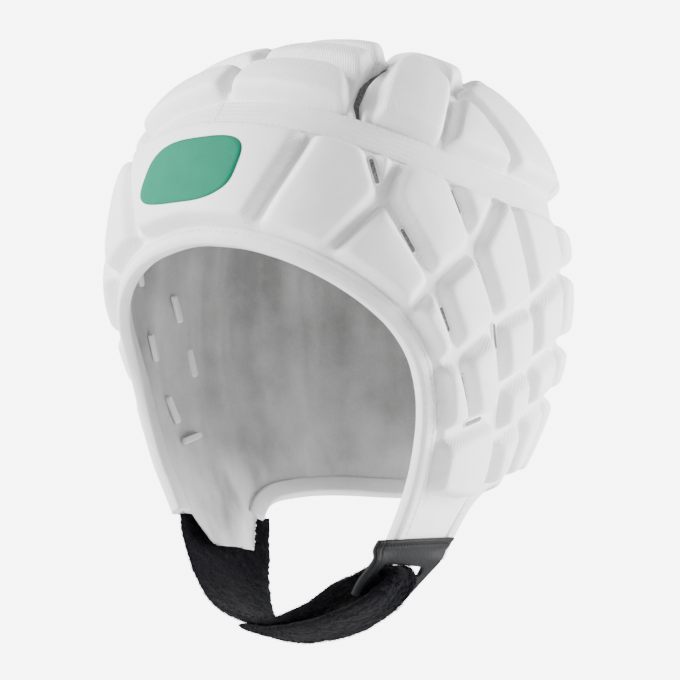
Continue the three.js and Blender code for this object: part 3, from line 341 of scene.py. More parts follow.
def pad_chart(places):
    """A pad's own flat chart round its middle: what lays places on it, and its corners laid there."""
    middle = np.mean([p[0] for p in places])
    height = np.mean([p[1] for p in places])
    degree = np.linalg.norm(form_points(middle, height) - form_points(middle + 1, height))

    def lay(around, down):
        return np.stack([(around - middle) * degree, (height - down) * CROWN_TO_RIM], -1)

    return lay, [(lay(p[0], p[1]), p[2]) for p in places]


def lines_of(a, b):
    """What an edge between two points lies along."""
    if "tape" in a and "tape" in b:
        return "tape"
    if a == "rim" and b == "rim":
        return "rim"
    if "seam" in a and "seam" in b:
        return "seam"
    return "channel"


def blend_least(distances, softness):
    """The least of several distances, rounded where two are near."""
    least = np.min(distances, axis=0)
    return least - softness * np.log(np.sum(np.exp(-(distances - least) / softness), axis=0))


def pad_profile(inset, width):
    """Share of the full height at a distance in from a pad's foot."""
    t = np.clip(inset / width, 0, 1)
    return t * t * (3 - 2 * t)


def pad_relief(flat, corners, edge_distance, sizes, height):
    """Height of one pad over points measured flat in millimetres."""
    count = len(corners)
    points = np.array([c[0] for c in corners])
    area = sum(points[i][0] * points[(i + 1) % count][1] - points[(i + 1) % count][0] * points[i][1]
               for i in range(count))
    if area < 0:
        corners = corners[::-1]
        points = points[::-1]
    distances = []
    used = set()
    for i in range(count):
        j = (i + 1) % count
        line = lines_of(corners[i][1], corners[j][1])
        if line in ("tape", "rim"):
            if line not in used:
                distances.append(edge_distance[line])
                used.add(line)
            continue
        along = points[j] - points[i]
        along = along / np.linalg.norm(along)
        offset = flat - points[i]
        margin = sizes.seam_margin if line == "seam" else sizes.channel_width / 2
        distances.append(along[0] * offset[:, 1] - along[1] * offset[:, 0] - margin)
    inset = blend_least(np.array(distances), 1.25)
    rise = 1 - (1 - np.clip((inset + 0.5) / sizes.pad_side, 0, 1)) ** 2.4
    dome = 1 - np.exp(-np.maximum(inset - 1, 0) / 8)
    return np.where(inset > -0.5, (height - FLOOR_RISE) * rise * (0.86 + 0.17 * dome), 0)


def channel_floor(distance):
    """How far the foam lifts the channels, from nothing at a sewn edge."""
    return FLOOR_RISE * pad_profile(distance + 0.8, 3.6)


class Sizes:
    """The sizes that the panels share, in millimetres."""

    def __init__(self, settings):
        self.pad_height = settings.pad_height / MM
        self.crown_pad_height = settings.crown_pad_height / MM
        self.channel_width = settings.channel_width / MM
        self.pad_side = 4.7
        self.seam_margin = 3.0
        self.slit_width = 2.2


def make_mesh(name, points, faces, material, uvs=None):
    """A smooth mesh object from points in millimetres; unused points are dropped."""
    faces = np.asarray(faces)
    used, packed = np.unique(faces, return_inverse=True)
    packed = packed.reshape(faces.shape)
    mesh = bpy.data.meshes.new(name)
    mesh.from_pydata((np.asarray(points)[used] * MM).tolist(), [], packed.tolist())
    mesh.polygons.foreach_set("use_smooth", np.ones(len(mesh.polygons), bool))
    if uvs is not None:
        layer = mesh.uv_layers.new(name="cloth")
        layer.data.foreach_set("uv", np.asarray(uvs, float)[used][packed.ravel()].ravel() * MM)
    mesh.materials.append(material)
    mesh.update()
    obj = bpy.data.objects.new(name, mesh)
    bpy.context.scene.collection.objects.link(obj)
    return obj


def settle(obj, slot, *nodes):
    """Puts a finished piece on the cap, in place of the solids that it stands for."""
    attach(obj, "root")
    if nodes:
        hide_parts(*nodes)
    return obj


def all_corners(mask):
    """Whether all four corners of each square of a grid are marked."""
    return mask[:-1, :-1] & mask[1:, :-1] & mask[1:, 1:] & mask[:-1, 1:]


def ring_faces(rings, count, base=0):
    """Faces between closed rings of points, one ring after another."""
    faces = []
    for i in range(rings - 1):
        for j in range(count):
            k = (j + 1) % count
            faces.append((base + i * count + j, base + i * count + k,
                          base + (i + 1) * count + k, base + (i + 1) * count + j))
    return faces


def grid_faces(rows, columns, keep):
    """Corner numbers of a grid's kept squares, rows first."""
    index = np.arange(rows * columns).reshape(rows, columns)
    quads = np.stack([index[:-1, :-1], index[1:, :-1], index[1:, 1:], index[:-1, 1:]], -1)
    return quads[keep]


def inside_polygon(polygon, points):
    """Whether each point lies in a closed outline."""
    inside = np.zeros(len(points), bool)
    x, y = points[:, 0], points[:, 1]
    for (x0, y0), (x1, y1) in zip(polygon, np.roll(polygon, -1, axis=0)):
        crosses = (y0 > y) != (y1 > y)
        if y0 != y1:
            inside ^= crosses & (x < (x1 - x0) * (y - y0) / (y1 - y0) + x0)
    return inside


def curve_through(rows, steps):
    """Evenly stepped points on a smooth curve through rows of numbers."""
    rows = np.asarray(rows, float)
    padded = np.vstack([2 * rows[0] - rows[1], rows, 2 * rows[-1] - rows[-2]])
    at = np.linspace(0, len(rows) - 1, steps)
    i = np.minimum(at.astype(int), len(rows) - 2)
    t = (at - i)[:, None]
    a, b, c, d = (padded[i + k] for k in range(4))
    return 0.5 * (2 * b + (c - a) * t + (2 * a - 5 * b + 4 * c - d) * t**2 + (3 * b - a - 3 * c + d) * t**3)


def evened(path, spacing):
    """A path resampled at equal spacing of its points in space."""
    points = layer_points(path[:, 0], path[:, 1], SHELL_OUTER)
    length = np.concatenate([[0], np.cumsum(np.linalg.norm(np.diff(points, axis=0), axis=1))])
    at = np.linspace(0, length[-1], max(8, int(length[-1] / spacing)))
    return np.stack([np.interp(at, length, path[:, k]) for k in (0, 1)], -1)


FACE_STEPS, REAR_STEPS = 600, 300


def face_path():
    """The face binding's middle line, from the right flap to the left one."""
    mirrored = np.vstack([FACE_EDGE[:0:-1] * [-1, 1], FACE_EDGE])
    return curve_through(mirrored, FACE_STEPS)


def rear_path():
    """The rear binding's middle line, from the left flap round the nape to the right one."""
    half = curve_through(REAR_EDGE, REAR_STEPS)
    return np.vstack([half, half[-2::-1] * [-1, 1] + [360, 0]])


def nearest_on(path_points, points):
    """Distance from each point to the nearest of a path's points."""
    tree = KDTree(len(path_points))
    for index, point in enumerate(path_points.tolist()):
        tree.insert(point, index)
    tree.balance()
    return np.array([tree.find(point)[2] for point in points.tolist()])


ROOT_HEIGHT = float(form_points(0, STRAP_ROOT_DOWN)[2])


# Materials

# Scale of the twill, whose bands run slantwise over the cloth's coordinates
TWILL_SCALE = 900.0 / (2 * math.pi) * 3.6
# Grey of the dark sheets that stand for painted shade in the vents and the crown's slits
SHADE_SHEET_GREY = (0.16, 0.16, 0.165)


class Shading:
    """A material in the making: its nodes, their links and its shader."""

    def __init__(self, name):
        self.material = bpy.data.materials.new(name)
        self.material.use_nodes = True
        self.tree = self.material.node_tree
        self.shader = self.tree.nodes["Principled BSDF"]

    def node(self, kind, values, sources, **options):
        """A new node with its options, values for some inputs and other nodes' outputs for others."""
        node = self.tree.nodes.new("ShaderNode" + kind)
        for key, option in options.items():
            setattr(node, key, option)
        for key, value in values.items():
            node.inputs[key].default_value = value
        for key, source in sources.items():
            self.tree.links.new(source, node.inputs[key])
        return node

    def cloth_uv(self):
        """Places on the cloth, in metres along and across."""
        return self.node("UVMap", {}, {}, uv_map="cloth").outputs["UV"]

    def place(self):
        """Places in the piece's own space."""
        return self.node("TexCoord", {}, {}).outputs["Object"]

    def noise(self, vector, scale, detail=2.0, rough=0.5):
        """Cloudy shades over a space."""
        values = {"Scale": scale, "Detail": detail, "Roughness": rough}
        return self.node("TexNoise", values, {"Vector": vector}).outputs["Fac"]

    def wave(self, vector, scale, direction, distortion):
        """Even bands over a space."""
        values = {"Scale": scale, "Distortion": distortion}
        return self.node("TexWave", values, {"Vector": vector}, bands_direction=direction).outputs["Fac"]

    def cells(self, vector, scale):
        """Distances from points scattered in a space."""
        return self.node("TexVoronoi", {"Scale": scale}, {"Vector": vector}).outputs["Distance"]

    def spread(self, value, low, high, start=0.0, end=1.0, kind="LINEAR"):
        """A value between low and high, spread to one between start and end."""
        values = {"From Min": low, "From Max": high, "To Min": start, "To Max": end}
        return self.node("MapRange", values, {"Value": value}, interpolation_type=kind).outputs["Result"]

    def plus(self, first, second, share=1.0):
        """One value plus a share of another."""
        return self.node("Math", {1: share}, {0: second, 2: first}, operation="MULTIPLY_ADD").outputs[0]

    def bump(self, height, strength, distance, before=None):
        """A raised surface, on top of another where one is given."""
        sources = {"Height": height} if before is None else {"Height": height, "Normal": before}
        return self.node("Bump", {"Strength": strength, "Distance": distance}, sources).outputs["Normal"]

    def colour(self, factor, dark, light, low=0.0, high=1.0):
        """Colours the surface between two shades, by where a factor lies from low to high."""
        ramp = self.node("ValToRGB", {}, {"Fac": factor})
        for element, position, shade in zip(ramp.color_ramp.elements, (low, high), (dark, light)):
            element.position = position
            element.color = (*shade, 1)
        self.tree.links.new(ramp.outputs["Color"], self.shader.inputs["Base Color"])

    def finished(self, values, normal=None):
        """The material, with the shader's values and the surface's bumps set."""
        for key, value in values.items():
            self.shader.inputs[key].default_value = value
        if normal is not None:
            self.tree.links.new(normal, self.shader.inputs["Normal"])
        return self.material


def darker(colour, share):
    """A colour times a share, which may be above 1."""
    return tuple(c * share for c in colour[:3])


def cloth_material(name, colour):
    """White coated cloth with a fine twill."""
    cloth = Shading(name)
    place = cloth.place()
    twill = cloth.wave(cloth.cloth_uv(), TWILL_SCALE, "DIAGONAL", 0.6)
    mottle = cloth.noise(place, 60.0, 3.0)
    grain = cloth.noise(place, 2200.0)
    cloth.colour(mottle, darker(colour, 0.965), colour[:3], 0.35, 0.65)
    soft = cloth.bump(mottle, 0.25, 0.0012)
    fine = cloth.bump(cloth.plus(twill, grain, 0.8), 0.42, 0.00025, soft)
    return cloth.finished({"Roughness": 0.62, "Sheen Weight": 0.12}, fine)


def tape_material(name, colour):
    """White woven tape with fine ribs across it."""
    tape = Shading(name)
    place = tape.place()
    ribs = tape.wave(tape.cloth_uv(), 520.0, "X", 0.3)
    grain = tape.noise(place, 1800.0)
    tape.colour(tape.noise(place, 80.0), darker(colour, 0.95), colour[:3], 0.35, 0.65)
    fine = tape.bump(tape.plus(ribs, grain, 0.6), 0.6, 0.0003)
    return tape.finished({"Roughness": 0.75, "Sheen Weight": 0.1}, fine)


def lining_material(name, colour):
    """Grey brushed knit with soft mottling and upright folds, with painted shade streaked along the folds and
    painted light that makes the lower part paler.
    """
    knit = Shading(name)
    place = knit.place()
    cloud = knit.noise(place, 34.0, 4.0, 0.55)
    fibres = knit.noise(place, 900.0, 4.0, 0.7)
    upright = knit.node("Mapping", {"Scale": (48.0, 48.0, 7.0)}, {"Vector": place})
    # These upright folds are bumps, and the same streaks also paint shade into the colour, darker and lighter
    # along the folds
    folds = knit.noise(upright.outputs["Vector"], 1.0, 2.0, 0.4)
    height = knit.node("SeparateXYZ", {}, {"Vector": place}).outputs["Z"]
    # Painted light: the lining is painted paler towards the bottom and darker higher up, where the shade
    # inside the cap falls
    painted_light_low = knit.spread(height, -0.05, -0.20, -0.12, 0.22, "SMOOTHSTEP")
    # The tone mixes random mottle and fibres with the painted fold shade and the painted light low down
    tone = knit.plus(knit.plus(knit.plus(cloud, fibres, 0.35), folds, 0.9), painted_light_low)
    knit.colour(knit.spread(tone, 0.72, 1.62), darker(colour, 0.50), darker(colour, 1.3))
    soft = knit.bump(folds, 0.8, 0.012, knit.bump(cloud, 0.5, 0.002))
    fine = knit.bump(fibres, 0.4, 0.0003, soft)
    return knit.finished({"Roughness": 0.95, "Sheen Weight": 0.25}, fine)


def plush_material(name, colour):
    """Black loop pile with a faint blue cast."""
    plush = Shading(name)
    place = plush.place()
    pile = plush.noise(place, 700.0, 3.0, 0.7)
    loops = plush.noise(place, 260.0, 3.0, 0.6)
    plush.colour(pile, darker(colour, 0.4), darker(colour, 1.5), 0.35, 0.75)
    fine = plush.bump(pile, 0.8, 0.0006, plush.bump(loops, 0.8, 0.0012))
    values = {"Roughness": 1.0, "Specular IOR Level": 0.05, "Sheen Weight": 0.03, "Sheen Roughness": 0.6}
    return plush.finished(values, fine)


def vinyl_material(name, colour, rough=0.62, grain_scale=650.0, mottle=0.25, specular=0.12):
    """Coated cloth with a fine leather grain."""
    vinyl = Shading(name)
    place = vinyl.place()
    grain = vinyl.bump(vinyl.cells(place, grain_scale), 0.35, 0.0002)
    cloud = vinyl.noise(place, 120.0, 3.0)
    vinyl.colour(cloud, darker(colour, 1 - mottle), darker(colour, 1 + mottle), 0.3, 0.7)
    return vinyl.finished({"Roughness": rough, "Specular IOR Level": specular}, grain)


def shade_sheet_material(name, colour):
    """Dark sheet with a fine pattern of cells, painted shade seen in the slits and vents."""
    mesh = Shading(name)
    holes = mesh.cells(mesh.place(), 900.0)
    mesh.colour(holes, darker(colour, 0.5), darker(colour, 1.6))
    return mesh.finished({"Roughness": 0.9}, mesh.bump(holes, 0.5, 0.0004))


def finish(name, make, *settings):
    """The material of that name, made once."""
    return bpy.data.materials.get(name) or make(name, *settings)


# Panels

def chart_uv(around, down):
    """Cloth coordinates of places on the head form."""
    return np.stack([np.asarray(around) * 1.45, np.asarray(down) * CROWN_TO_RIM], -1)


# Pads stay this far from a vent's middle line, and rise over the next stretch
VENT_GAP, VENT_RISE = 1.3, 1.8
# Half a vent's length, and how far from its middle places are looked at
VENT_HALF, VENT_NEAR = 4.6, 14


def clear_of_vents(surface):
    """A share from 0 to 1 that keeps the pads off the vents."""
    share = np.ones(len(surface))
    for side in (1, -1):
        for around, down, along, _, _ in vent_places(side):
            offset = surface - layer_points(around, down, SHELL_OUTER)
            near = np.flatnonzero((np.abs(offset) < VENT_NEAR).all(axis=1))
            reach = np.clip(offset[near] @ along, -VENT_HALF, VENT_HALF)
            gap = np.linalg.norm(offset[near] - reach[:, None] * along, axis=1)
            share[near] = np.minimum(share[near], pad_profile(gap - VENT_GAP, VENT_RISE))
    return share


def body_relief(sizes):
    """The grid of the padded sides: its places, and the height of the pads and of the foam between them."""
    around = np.linspace(-180, 180, 721)
    down = np.linspace(0.29, FLAP_END_DOWN, 236)
    down_grid, around_grid = np.meshgrid(down, around, indexing="ij")
    a, d = around_grid.ravel(), down_grid.ravel()
    surface = layer_points(a, d, SHELL_OUTER)
    rim_points = np.vstack([layer_points(p[:, 0], p[:, 1], SHELL_OUTER)
                            for p in (evened(face_path(), 1.6), evened(rear_path(), 1.6))])
    rim = nearest_on(rim_points, surface) - (BINDING_HALF + EDGE_GAP)
    tape = (d - tape_down(a)) * CROWN_TO_RIM - (TAPE_HALF + EDGE_GAP)
    relief = np.zeros(len(a))
    cells = [(names, side) for names in SIDE_PADS for side in (1, -1)]
    cells = [([(name, side) for name in names], side) for names, side in cells] + [(FOREHEAD, 1)]
    for named, side in cells:
        places = [place_of(name, turned) for name, turned in named]
        if any(abs(p[0]) == 180 for p in places):
            places = [(180 * side if abs(p[0]) == 180 else p[0], p[1], p[2]) for p in places]
        lay, corners = pad_chart(places)
        low = np.min([p[0] for p in places]) - 3, np.min([p[1] for p in places]) - 0.02
        high = np.max([p[0] for p in places]) + 3, np.max([p[1] for p in places]) + 0.02
        near = np.flatnonzero((a > low[0]) & (a < high[0]) & (d > low[1]) & (d < high[1]))
        edges = {"tape": tape[near], "rim": rim[near]}
        rise = pad_relief(lay(a[near], d[near]), corners, edges, sizes, sizes.pad_height)
        relief[near] = np.maximum(relief[near], rise)
    relief *= clear_of_vents(surface)
    unpadded = (0.925 - d) * CROWN_TO_RIM
    relief += channel_floor(np.minimum(rim, tape)) * pad_profile(unpadded, 14)
    return around_grid, down_grid, relief.reshape(around_grid.shape)


def opening_mask(around, down):
    """Whether places lie in the face opening or below the nape."""
    points = np.stack([around.ravel(), down.ravel()], -1)
    face = np.vstack([face_path(), [(60, BELOW_ALL), (-60, BELOW_ALL)]])
    rear = rear_path()
    past_nape = [(PAST_NAPE, REAR_EDGE[-1, 1]), (PAST_NAPE, BELOW_ALL)]
    right = np.vstack([[(98, BELOW_ALL)], rear[:REAR_STEPS], past_nape])
    out = inside_polygon(face, points)
    out |= inside_polygon(right, points)
    out |= inside_polygon(right * [-1, 1], points)
    return out.reshape(around.shape)


def soft_waver(points, size, amount):
    """A smooth, repeatable unevenness over points in millimetres."""
    p = points / size
    broad = np.sin(p[:, 0] * 1.7 + 2.1 * np.sin(p[:, 1] * 1.3)) * np.sin(p[:, 2] * 1.9 + p[:, 1] * 0.8)
    return amount * (broad + 0.5 * np.sin(p[:, 0] * 3.1 - p[:, 2] * 2.7 + 1.3 * np.sin(p[:, 1] * 2.2)))


def make_body(settings):
    """The forehead panel and the two padded sides."""
    sizes = Sizes(settings)
    around, down, relief = body_relief(sizes)
    out = opening_mask(around, down)
    a, d = around.ravel().copy(), down.ravel().copy()
    points = layer_points(a, d, SHELL_OUTER + relief.ravel())
    points += form_normals(a, d) * soft_waver(points, WAVER_SIZE, WAVER_DEPTH)[:, None]
    low_right = (a < 0) & (points[:, 2] < ROOT_HEIGHT + 0.3)
    outside = out | (down < tape_down(around) - UNDER_TAPE)
    keep = ~all_corners(outside)
    below = low_right.reshape(around.shape)
    keep &= ~all_corners(below)
    points[low_right, 2] = ROOT_HEIGHT + 0.3
    top, low = place_of("foreheadTop", 1), place_of("foreheadLow", 1)
    edge = top[0] + (down - top[1]) * (low[0] - top[0]) / (low[1] - top[1])
    middle = np.abs(around) < edge
    cell = all_corners(middle)
    faces_of = {
        "padded_forehead": keep & cell,
        "padded_side_left": keep & ~cell & (around[:-1, :-1] >= 0),
        "padded_side_right": keep & ~cell & (around[:-1, :-1] < 0),
    }
    nodes = {"padded_forehead": "forehead_panel", "padded_side_left": "side_panel_left",
             "padded_side_right": "side_panel_right"}
    cloth = finish("white_cloth", cloth_material, settings.shell_colour)
    uvs = chart_uv(a, d)
    for name, mask in faces_of.items():
        faces = grid_faces(*around.shape, mask)
        piece = make_mesh(name, points, faces, cloth, uvs)
        settle(piece, "shell_cloth", nodes[name])


def seam_path(seam, side):
    """A seam's line in plan, with how far it gapes at each point."""
    rows = []
    for name, gape in seam:
        around, down, _ = place_of(name, side)
        rows.append((*plan_of(around, down), gape))
    last = 2 * np.array(rows[-1]) - np.array(rows[-2])
    last[2] = 0
    rows = np.array([*rows, last])
    fine = []
    for a, b in zip(rows[:-1], rows[1:]):
        steps = max(2, int(np.linalg.norm(b[:2] - a[:2]) / 0.8))
        fine.append(a + (b - a) * np.linspace(0, 1, steps, endpoint=False)[:, None])
    return np.vstack([*fine, rows[-1:]])


def petal_outline(name):
    """The outline of one petal in plan, and the two seams beside it."""
    far = 3 * CROWN_TO_RIM
    if name == "front":
        left, right = seam_path(FRONT_SEAM, 1), seam_path(FRONT_SEAM, -1)
        outline = np.vstack([left[:, :2], [(far, -far), (-far, -far)], right[:0:-1, :2]])
    elif name == "back":
        left, right = seam_path(REAR_SEAM, 1), seam_path(REAR_SEAM, -1)
        outline = np.vstack([left[:, :2], [(far, far), (-far, far)], right[:0:-1, :2]])
    else:
        side = 1 if name == "left" else -1
        left, right = seam_path(FRONT_SEAM, side), seam_path(REAR_SEAM, side)
        outline = np.vstack([left[:, :2], [(side * far, -far), (side * far, far)], right[:0:-1, :2]])
    return outline, np.vstack([left, right])


def crown_cells(name):
    """The pads of one petal, each with its side."""
    if name in ("front", "back"):
        return [(cell, side) for cell in CROWN_PADS[name] for side in (1, -1)]
    return [(cell, 1 if name == "left" else -1) for cell in CROWN_PADS["side"]]


def make_petal(name, settings):
    """One petal of the crown, with its pads and the rolled edge at its seams."""
    sizes = Sizes(settings)
    outline, seams = petal_outline(name)
    reach = 0.47 * CROWN_TO_RIM
    count = 281
    axis = np.linspace(-reach, reach, count)
    v_grid, u_grid = np.meshgrid(axis, axis, indexing="ij")
    flat = np.stack([u_grid.ravel(), v_grid.ravel()], -1)
    around, down = chart_of(flat)
    inside = inside_polygon(outline, flat)
    candidates = np.flatnonzero(down < tape_down(around) + 0.03)
    gap = np.full(len(flat), 99.0)
    direction = np.zeros((len(flat), 2))
    half_gape = np.zeros(len(flat))
    for part in range(0, len(candidates), 8000):
        block = candidates[part:part + 8000]
        offset = flat[block][:, None, :] - seams[None, :, :2]
        distance = np.linalg.norm(offset, axis=2)
        nearest = distance.argmin(axis=1)
        rows = np.arange(len(block))
        sign = np.where(inside[block], 1, -1)
        half_gape[block] = (0.5 + seams[nearest, 2] * sizes.slit_width) / 2
        gap[block] = sign * distance[rows, nearest] - half_gape[block]
        reach_of = np.maximum(distance[rows, nearest], 1e-6)
        direction[block] = sign[:, None] * offset[rows, nearest] / reach_of[:, None]
    under = down < tape_down(around) + UNDER_TAPE
    grid = ((gap > 0) & under).reshape(count, count)
    keep = ~all_corners(~grid)
    keep &= under.reshape(count, count)[:-1, :-1]
    short = np.minimum(gap, 0)
    flat = flat - direction * short[:, None]
    gap = np.maximum(gap, 0)
    around, down = chart_of(flat)
    relief = np.zeros(len(flat))
    tape = (tape_down(around) - down) * CROWN_TO_RIM - (TAPE_HALF + EDGE_GAP)
    for names, side in crown_cells(name):
        corners = []
        for point in names:
            where = place_of(point, side)
            corners.append((plan_of(where[0], where[1]), where[2]))
        points = np.array([c[0] for c in corners])
        near = np.flatnonzero((flat > points.min(0) - 2).all(1) & (flat < points.max(0) + 2).all(1))
        edges = {"tape": tape[near], "rim": tape[near]}
        rise = pad_relief(flat[near], corners, edges, sizes, sizes.crown_pad_height)
        relief[near] = np.maximum(relief[near], rise)
    relief += channel_floor(np.minimum(tape, gap - 1))
    wide = np.clip((half_gape - 0.3) / 1.2, 0, 1)
    lip = (0.5 + 1.0 * wide) * np.exp(-((gap - 1.5) / 1.1) ** 2)
    fold = 2.0 * (1 - np.clip(gap / 0.9, 0, 1)) ** 2
    points = layer_points(around, down, SHELL_OUTER + relief + lip - fold)
    points += form_normals(around, down) * soft_waver(points, WAVER_SIZE, WAVER_DEPTH)[:, None]
    cloth = finish("white_cloth", cloth_material, settings.shell_colour)
    faces = grid_faces(count, count, keep)[:, ::-1]
    piece = make_mesh(f"padded_crown_{name}", points, faces, cloth, flat)
    settle(piece, "shell_cloth", f"crown_{name}")


def sweep(name, rings, material, closed, uvs=None):
    """A mesh through equal rings of points, one after another."""
    rings = np.asarray(rings)
    count, size = rings.shape[:2]
    index = np.arange(count * size).reshape(count, size)
    following = np.roll(index, -1, axis=0) if closed else index[1:]
    current = index if closed else index[:-1]
    quads = np.stack([current, np.roll(current, -1, axis=1), np.roll(following, -1, axis=1), following], -1)
    piece = make_mesh(name, rings.reshape(-1, 3), quads.reshape(-1, 4), material, uvs)
    if not closed:
        mesh = piece.data
        shape = bmesh.new()
        shape.from_mesh(mesh)
        bmesh.ops.holes_fill(shape, edges=[e for e in shape.edges if e.is_boundary], sides=0)
        bmesh.ops.recalc_face_normals(shape, faces=shape.faces)
        shape.to_mesh(mesh)
        shape.free()
    return piece


def band_rings(path, profile, closed):
    """Rings of a band's profile (across, level) along places on the form."""
    middle = float(np.mean(profile[:, 1]))
    centres = layer_points(path[:, 0], path[:, 1], middle)
    if closed:
        along = np.roll(centres, -1, axis=0) - np.roll(centres, 1, axis=0)
    else:
        along = np.gradient(centres, axis=0)
    along /= np.linalg.norm(along, axis=1, keepdims=True)
    up = form_normals(path[:, 0], path[:, 1])
    across = np.cross(along, up)
    across /= np.linalg.norm(across, axis=1, keepdims=True)
    rings = (centres[:, None, :] + profile[None, :, 0, None] * across[:, None, :]
             + (profile[None, :, 1, None] - middle) * up[:, None, :])
    return rings, along, across, up


def band_uv(count, spacing, profile):
    """Cloth coordinates of a band: along it in equal steps, and across it."""
    return np.stack(np.meshgrid(np.arange(count) * spacing, profile[:, 0], indexing="ij"), -1).reshape(-1, 2)


def rounded_profile(half, low, high, corner, top=()):
    """A band's section with round corners, and a list of top points between them."""
    points = [(-half, low), (half, low)]
    for k in range(5):
        angle = k / 4 * math.pi / 2
        points.append((half - corner + corner * math.cos(angle), high - corner + corner * math.sin(angle)))
    points += list(top)
    for k in range(5):
        angle = math.pi / 2 + k / 4 * math.pi / 2
        points.append((corner - half + corner * math.cos(angle), high - corner + corner * math.sin(angle)))
    return np.array(points)


def tick_marks(name, centres, along, across, up, sizes, material):
    """Small raised stitches at places, with their half sizes along, across and up."""
    ends = np.array([(-1, 0, 0), (0, -1, 0), (1, 0, 0), (0, 1, 0), (0, 0, 1), (0, 0, -1)]) * sizes
    points = sum((ends[None, :, k, None] * axis[:, None] for k, axis in enumerate((along, across, up))),
                 centres[:, None])
    one = np.array([(0, 1, 4), (1, 2, 4), (2, 3, 4), (3, 0, 4), (1, 0, 5), (2, 1, 5), (3, 2, 5), (0, 3, 5)])
    faces = (one[None] + len(ends) * np.arange(len(centres))[:, None, None]).reshape(-1, 3)
    return make_mesh(name, points.reshape(-1, 3), faces, material)


def stitches_along(name, path, across_at, level, pitch, length, material, closed):
    """A row of small raised stitches along a band."""
    even = evened(path, pitch)
    rings, along, across, up = band_rings(even, np.array([(across_at, level)]), closed)
    return tick_marks(name, rings[:, 0], along, across, up, (length / 2, 0.24, 0.2), material)


def make_edges(settings):
    """The ribbed tape round the head and the two bindings, with their stitches."""
    tape = finish("white_tape", tape_material, settings.tape_colour)
    top = TAPE_LOW + TAPE_THICKNESS
    ridge = [(5.2, top), (4.9, top + 0.3), (4.2, top + 0.4), (3.7, top - 0.25), (3.3, top - 0.2),
             (2.8, top + 0.2), (1.6, top + 0.28), (1.1, top - 0.12), (0.7, top + 0.2), (-0.7, top + 0.2),
             (-1.1, top - 0.12), (-1.6, top + 0.28), (-2.8, top + 0.2), (-3.3, top - 0.2), (-3.7, top - 0.25),
             (-4.2, top + 0.4), (-4.9, top + 0.3), (-5.2, top)]
    around = np.linspace(0, 360, 721)[:-1]
    path = np.stack([around, tape_down(around)], -1)
    profile = rounded_profile(TAPE_HALF, TAPE_LOW, top, 0.7, ridge)
    rings, _, _, _ = band_rings(path, profile, True)
    piece = sweep("crown_band", rings, tape, True, band_uv(len(path), 0.75, profile))
    settle(piece, "tape_cloth", "crown_tape")
    high = BINDING_LOW + BINDING_THICKNESS
    groove = [(2.4, high + 0.1), (1.2, high + 0.14), (0, high + 0.1),
              (-1.0, high - 0.02), (-1.5, high - 0.22), (-2.0, high - 0.02)]
    section = rounded_profile(BINDING_HALF, BINDING_LOW, high, 1.5, groove)
    lower = [(-2.9, BINDING_LOW - 0.1), (0, BINDING_LOW - 0.3), (2.9, BINDING_LOW - 0.1)]
    section = np.vstack([[(-3.4, BINDING_LOW)], lower, [(3.4, BINDING_LOW)], [(4.0, BINDING_LOW + 0.7)],
                         section[2:], [(-4.0, BINDING_LOW + 0.7)]])
    spacing = 1.2
    bindings = ("face_edge", face_path(), "face_binding"), ("nape_edge", rear_path(), "rear_binding")
    for name, line, node in bindings:
        even = evened(line, spacing)
        heights = form_points(even[:, 0], even[:, 1])[:, 2]
        turned = (even[:, 0] + 180) % 360 - 180
        even = even[(turned > 0) | (heights > ROOT_HEIGHT + 0.2)]
        rings, _, _, _ = band_rings(even, section, False)
        piece = sweep(name, rings, tape, False, band_uv(len(even), spacing, section))
        settle(piece, "tape_cloth", node)
        stitch = stitches_along(name + "_stitches", even, -1.5, high - 0.1, 3.0, 2.2, tape, False)
        settle(stitch, "tape_cloth")
    for label, across_at in (("upper", -5.4), ("lower", 5.4)):
        stitch = stitches_along(f"band_{label}_stitches", path, across_at, top + 0.02, 2.8, 2.0, tape, True)
        settle(stitch, "tape_cloth")


def tongue_edge(along):
    """Height of the lining's lower edge on the right side at places along."""
    return ROOT_HEIGHT + np.interp(along, TONGUE[:, 0], TONGUE[:, 1], left=0, right=0)


def tongue_tree():
    """A search tree over that edge, and its places along and heights."""
    along = np.linspace(-60, 60, 1201)
    steps = np.linspace(0, 1, 60)[:, None, None]
    slopes = (TONGUE[:-1] + (TONGUE[1:] - TONGUE[:-1]) * steps).reshape(-1, 2) + (0, ROOT_HEIGHT)
    places = np.concatenate([np.stack([along, tongue_edge(along)], -1), slopes])
    tree = KDTree(len(places))
    for number, place in enumerate(places):
        tree.insert((0, *place), number)
    tree.balance()
    return tree, places


